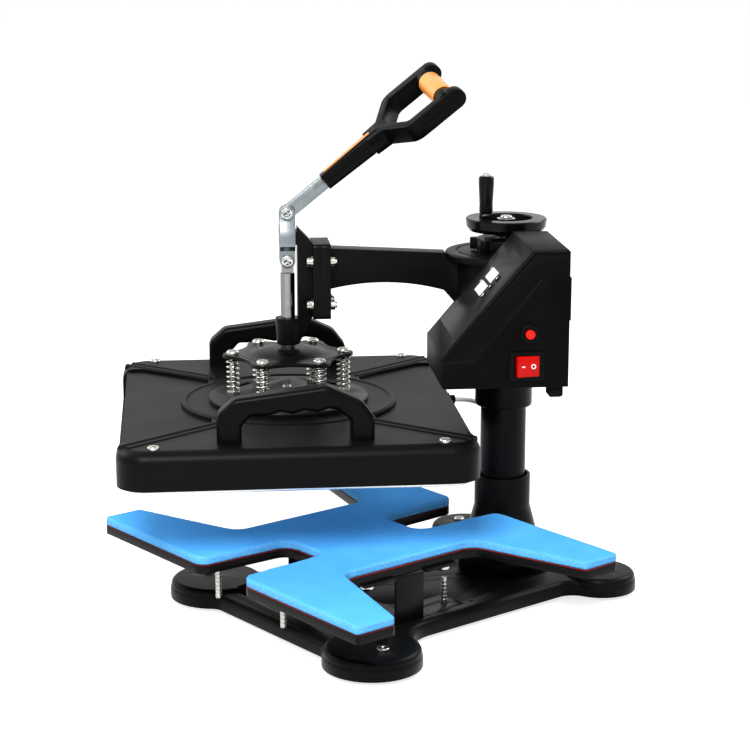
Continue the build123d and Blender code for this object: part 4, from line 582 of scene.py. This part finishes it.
def studs():
    "The threads that show on the tray's studs and on the pins under the pad."
    paint("threaded_studs", ZINC_SCREW)
    threads("stud_threads", [(x, PAD_Y + STUD_BACK, STUD_FOOT) for x in (-STUD_X, STUD_X)], STUD_HEIGHT)
    threads("pin_threads", [(x, PIN_Y, PIN_FOOT) for x in (-PIN_X, PIN_X)], PIN_HEIGHT)


# Press springs


def springs():
    """"The press springs, smooth-shaded on a mesh of their own. In the press they shorten as the platen
    floats up under the spider."
    """
    piece = merged_copy("press_springs")
    smooth(piece)
    dress(piece, SPRING_STEEL, "plunger", slot_of["press_springs"], "press_springs")
    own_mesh(piece)


# Foam pad

FOAM_RIM = 1.2
FOAM_MESH, FOAM_QUICK_MESH = 2.0, 3.0
FOAM_SWELL, FOAM_SWELL_SIZE = 0.25, 60          # the top's broad waves: their height and width
FOAM_PITTING, FOAM_PITTING_SIZE = 0.08, 9       # and its small ones
FOAM_CUT_WANDER, FOAM_CUT_INSET = 0.35, 0.15    # how far the cut edge strays and stands in


def foam_pad():
    "The foam sheet: cut by hand, so its edge wanders, its rim is soft and its top is not quite flat."
    piece = merged_copy("foam_pad")
    rim = piece.modifiers.new("soft_rim", "BEVEL")
    rim.width = FOAM_RIM * MM
    rim.segments = 2
    rim.limit_method = "ANGLE"
    rim.angle_limit = radians(50)
    cells = piece.modifiers.new("even_mesh", "REMESH")
    cells.mode = "VOXEL"
    cells.voxel_size = FOAM_MESH * MM
    piece = baked(piece)
    low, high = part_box("foam_pad")
    normals = [point.normal.copy() for point in piece.data.vertices]
    for point, normal in zip(piece.data.vertices, normals):
        at = point.co
        coarse = noise.noise(at / (FOAM_SWELL_SIZE * MM))
        fine = noise.noise(at / (FOAM_PITTING_SIZE * MM))
        side = 1.0 - min(1.0, abs(normal.z) * 1.5)
        rise = (at.z - low.z) / (high.z - low.z)
        cut = FOAM_CUT_WANDER * fine - FOAM_CUT_INSET
        at.z += rise * (FOAM_SWELL * coarse + FOAM_PITTING * fine) * MM
        at.x += normal.x * side * cut * MM
        at.y += normal.y * side * cut * MM
    piece.data.update()
    piece.data.shade_smooth()
    dress(piece, FOAM, "stand", slot_of["foam_pad"], "foam_pad")


# Heater lead

LEAD_RADIUS = 2.5
LEAD_ROUTE = [
    (-38.5, -46.5, 184.0),
    (-38.5, -32.55, 184.0),
    (-41.0, -17.205, 178.0),
    (-42.0, 0.0, 181.0),
    (-39.0, 22.0, 194.0),
    (-30.0, 40.0, 210.0),
    (-12.0, 50.0, 226.0),
    (8.0, 47.0, 241.0),
    (27.2, 28.0, 257.0),
    (41.6, 22.0, 262.0),
    (53.6, 22.0, 262.0),
]


def heater_lead():
    "The silicone lead that feeds the platen, from its gland round the back of the post into the box."
    curve = bpy.data.curves.new("heater_lead_cord", "CURVE")
    curve.dimensions = "3D"
    line = curve.splines.new("NURBS")
    line.points.add(len(LEAD_ROUTE) - 1)
    for point, (x, y, z) in zip(line.points, LEAD_ROUTE):
        point.co = (*on_arm(x, y, z), 1.0)
    line.order_u = 3
    line.use_endpoint_u = True
    line.resolution_u = 8
    curve.bevel_depth = LEAD_RADIUS * MM
    curve.bevel_resolution = 5
    curve.use_fill_caps = True
    curve.materials.append(JACKET_SILICONE)
    bare = curve.copy()
    bare.bevel_depth = 0.0
    line = baked(link_object("lead_line", bare))
    bpy.data.objects.remove(line)
    cord = baked(link_object("heater_lead_cord", curve))
    cord.data.shade_smooth()
    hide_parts("heater_lead")
    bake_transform(cord)


# Marks on the control box

SLANT_FOOT = (-89.0, 278.0)     # the slanted face's lower and upper ends, as y and z
SLANT_HEAD = (-2.0, 380.5)
INK = 0.12            # how thick a mark is
INK_GAP = 0.01        # how far it stands off its face
KEY_PROUD = 1.0
KEY_X = 135.0
ARROW_HALF = 1.6


def slant(x, s, lift=0.0):
    "A place on the slanted face, at x and s millimetres up the slope, lifted off it."
    dy, dz = SLANT_HEAD[0] - SLANT_FOOT[0], SLANT_HEAD[1] - SLANT_FOOT[1]
    length = hypot(dy, dz)
    back, rise = dy / length, dz / length
    return on_arm(x, SLANT_FOOT[0] + s * back - lift * rise, SLANT_FOOT[1] + s * rise + lift * back)


def flat_mark(name, outlines, place, thickness, finish, body, slot):
    "Thin raised marks: closed outlines in two coordinates, laid where place puts them."
    shape = bmesh.new()
    for outline in outlines:
        low = [shape.verts.new(place(u, v, 0.0)) for u, v in outline]
        high = [shape.verts.new(place(u, v, thickness)) for u, v in outline]
        shape.faces.new(high)
        shape.faces.new(low[::-1])
        for i in range(len(outline)):
            j = (i + 1) % len(outline)
            shape.faces.new((low[i], low[j], high[j], high[i]))
    bmesh.ops.recalc_face_normals(shape, faces=shape.faces)
    mesh = bpy.data.meshes.new(name)
    shape.to_mesh(mesh)
    shape.free()
    return dress(link_object(name, mesh), finish, body, slot)


def bar(u0, u1, v0, v1):
    "A rectangle's outline."
    return [(u0, v0), (u1, v0), (u1, v1), (u0, v1)]


def ring_bars(u, v, outer, inner, count=20):
    "A ring as a row of small pieces."
    pieces = []
    for i in range(count):
        a, b = 2 * pi * i / count, 2 * pi * (i + 1) / count
        corners = ((outer, a), (outer, b), (inner, b), (inner, a))
        pieces.append([(u + radius * cos(turn), v + radius * sin(turn)) for radius, turn in corners])
    return pieces


def panel_marks():
    "Short ticks beside the windows, as a generic scale, and a sign on each key."
    def on_panel(u, v, lift):
        return slant(u, v, lift + INK_GAP)

    def on_key(u, v, lift):
        return slant(u, v, lift + KEY_PROUD + INK_GAP)

    ticks = [bar(86.2, 87.4, s, s + 2.6) for s in (92.0, 75.5)]
    ticks += [bar(129.0, 130.6, s - 1.0, s + 1.0) for s in (69.5, 80.3, 91.0)]
    flat_mark("panel_ticks", ticks, on_panel, INK, MARK_INK, "arm", slot_of["display_panel"])
    left, right = KEY_X - ARROW_HALF, KEY_X + ARROW_HALF
    signs = {
        "set_key": ring_bars(KEY_X, 69.5, 2.0, 1.2),
        "down_key": [[(left, 81.3), (right, 81.3), (KEY_X, 78.9)]],
        "up_key": [[(left, 90.0), (KEY_X, 92.4), (right, 90.0)]],
    }
    for key, outlines in signs.items():
        body, slot = body_of_node(key), slot_of["display_windows"]
        flat_mark(key + "_sign", outlines, on_key, INK, MARK_INK, body, slot)


ROCKER_AXIS = (173.0, -7.5, 269.0)
ROCKER_TILT = radians(9.0)
ROCKER_WAIST = 6.61   # from the axis to the middle of the face, where its halves meet
ROCKER_SLOPE = 0.1033
ROCKER_INK = 0.15


def on_rocker(u, v, lift):
    "A place on the rocker's two sloping halves, u along them and v up, from the middle of its face."
    out = ROCKER_WAIST + ROCKER_SLOPE * abs(u) + lift
    turned = Matrix.Rotation(ROCKER_TILT, 4, "Z") @ Vector((out, u, v))
    return on_arm(*(Vector(ROCKER_AXIS) + turned))


def rocker_marks():
    "The stroke and the ring that say on and off."
    marks = {"rocker_stroke": [bar(-6.6, -3.4, -0.6, 0.6)], "rocker_ring": ring_bars(5.2, 0.0, 2.4, 1.6)}
    for name, outlines in marks.items():
        flat_mark(name, outlines, on_rocker, ROCKER_INK, MARK_INK, "rocker", slot_of["display_windows"])


SEAM_X = 175.4
SEAM = [(-84.5, 276.35), (0.08, 376.0), (28.9, 376.0)]    # as y and z
SEAM_RADIUS = 0.7


def cover_bead():
    "A thin moulded bead that fills the seam between the box's shell and its side cover."
    curve = bpy.data.curves.new("side_cover_bead", "CURVE")
    curve.dimensions = "3D"
    line = curve.splines.new("POLY")
    line.points.add(len(SEAM) - 1)
    for point, (y, z) in zip(line.points, SEAM):
        point.co = (*on_arm(SEAM_X, y, z), 1.0)
    curve.bevel_depth = SEAM_RADIUS * MM
    curve.bevel_resolution = 3
    curve.use_fill_caps = True
    piece = baked(link_object("side_cover_bead", curve))
    piece.data.shade_smooth()
    dress(piece, MOULDED_ABS, "arm", slot_of["side_cover"])


# Stage, in metres

FLOOR_SIZE = 90.0
FLOOR_GLOW = 0.77     # what the camera sees of the floor beyond what the lamps give it
SKY_FILL = 0.4        # the world's even light on the press
LAMPS = {             # place, side and watts
    "key_lamp": ((1.1, -1.6, 1.9), 1.0, 92.0),
    "fill_lamp": ((-1.8, -1.0, 1.4), 1.2, 20.0),
    "back_lamp": ((0.3, 1.9, 1.6), 1.0, 26.0),
}
LAMP_TARGET = Vector((-0.05, -0.2, 0.22))
EYE = (1.510, -1.401, 0.7023)
EYE_HEADING = (-0.7763, 0.6304)    # in plan
EYE_DOWN = 13.24                   # degrees
LENS = 96.2                        # millimetres, as is the sensor
SENSOR = 36.0


def white_for_camera(tree, low, high):
    "A strength that is high where the camera looks, straight or by a mirror or glass, and else low."
    ray = add(tree, "ShaderNodeLightPath").outputs
    seen = ray["Is Camera Ray"]
    for kind in ("Is Glossy Ray", "Is Transmission Ray"):
        seen = add(tree, "ShaderNodeMath", {"operation": "MAXIMUM"}, _0=seen, _1=ray[kind]).outputs[0]
    return add(tree, "ShaderNodeMapRange", _0=seen, _1=0.0, _2=1.0, _3=low, _4=high).outputs[0]


def stage():
    "A wide pale floor that fades into white and keeps the press's shadow, and soft lamps."
    bpy.ops.mesh.primitive_plane_add(size=FLOOR_SIZE)
    floor = bpy.context.object
    floor.name = "floor"
    material, tree, shader, _ = begin("pale_floor")
    shader.inputs["Base Color"].default_value = srgb("#c8c8c8")
    shader.inputs["Roughness"].default_value = 1.0
    shader.inputs["Specular IOR Level"].default_value = 0.0
    shader.inputs["Emission Color"].default_value = srgb("#ffffff")
    tree.links.new(white_for_camera(tree, 0.0, FLOOR_GLOW), shader.inputs["Emission Strength"])
    floor.data.materials.append(material)
    world = bpy.data.worlds.new("studio")
    bpy.context.scene.world = world
    world.use_nodes = True
    tree = world.node_tree
    tree.nodes.clear()
    strength = white_for_camera(tree, SKY_FILL, 1.0)
    sky = add(tree, "ShaderNodeBackground", Color=srgb("#ffffff"), Strength=strength)
    add(tree, "ShaderNodeOutputWorld", Surface=sky.outputs[0])
    for name, (at, size, power) in LAMPS.items():
        lamp(name, at, size, power)


def lamp(name, place, size, power):
    "A square soft lamp that looks at the middle of the press."
    light = bpy.data.lights.new(name, "AREA")
    light.shape = "SQUARE"
    light.size = size
    light.energy = power
    made = link_object(name, light)
    made.location = place
    aim = LAMP_TARGET - Vector(place)
    made.rotation_mode = "QUATERNION"
    made.rotation_quaternion = aim.to_track_quat("-Z", "Y")


def camera():
    "The photograph's view."
    made = bpy.data.cameras.new("camera")
    made.sensor_width = SENSOR
    made.lens = LENS
    eye = link_object("camera", made)
    eye.location = EYE
    down = radians(EYE_DOWN)
    look = Vector((EYE_HEADING[0] * cos(down), EYE_HEADING[1] * cos(down), -sin(down)))
    eye.rotation_mode = "QUATERNION"
    eye.rotation_quaternion = look.to_track_quat("-Z", "Y")
    bpy.context.scene.camera = eye
    bpy.context.scene.view_settings.view_transform = "Standard"


camera()
heater_lead()
for name, (width, finish) in EASED.items():
    eased(name, width, finish)
for name, finish in PAINTED.items():
    paint(name, finish)
foam_pad()
springs()
screws()
studs()
panel_marks()
rocker_marks()
cover_bead()
stage()
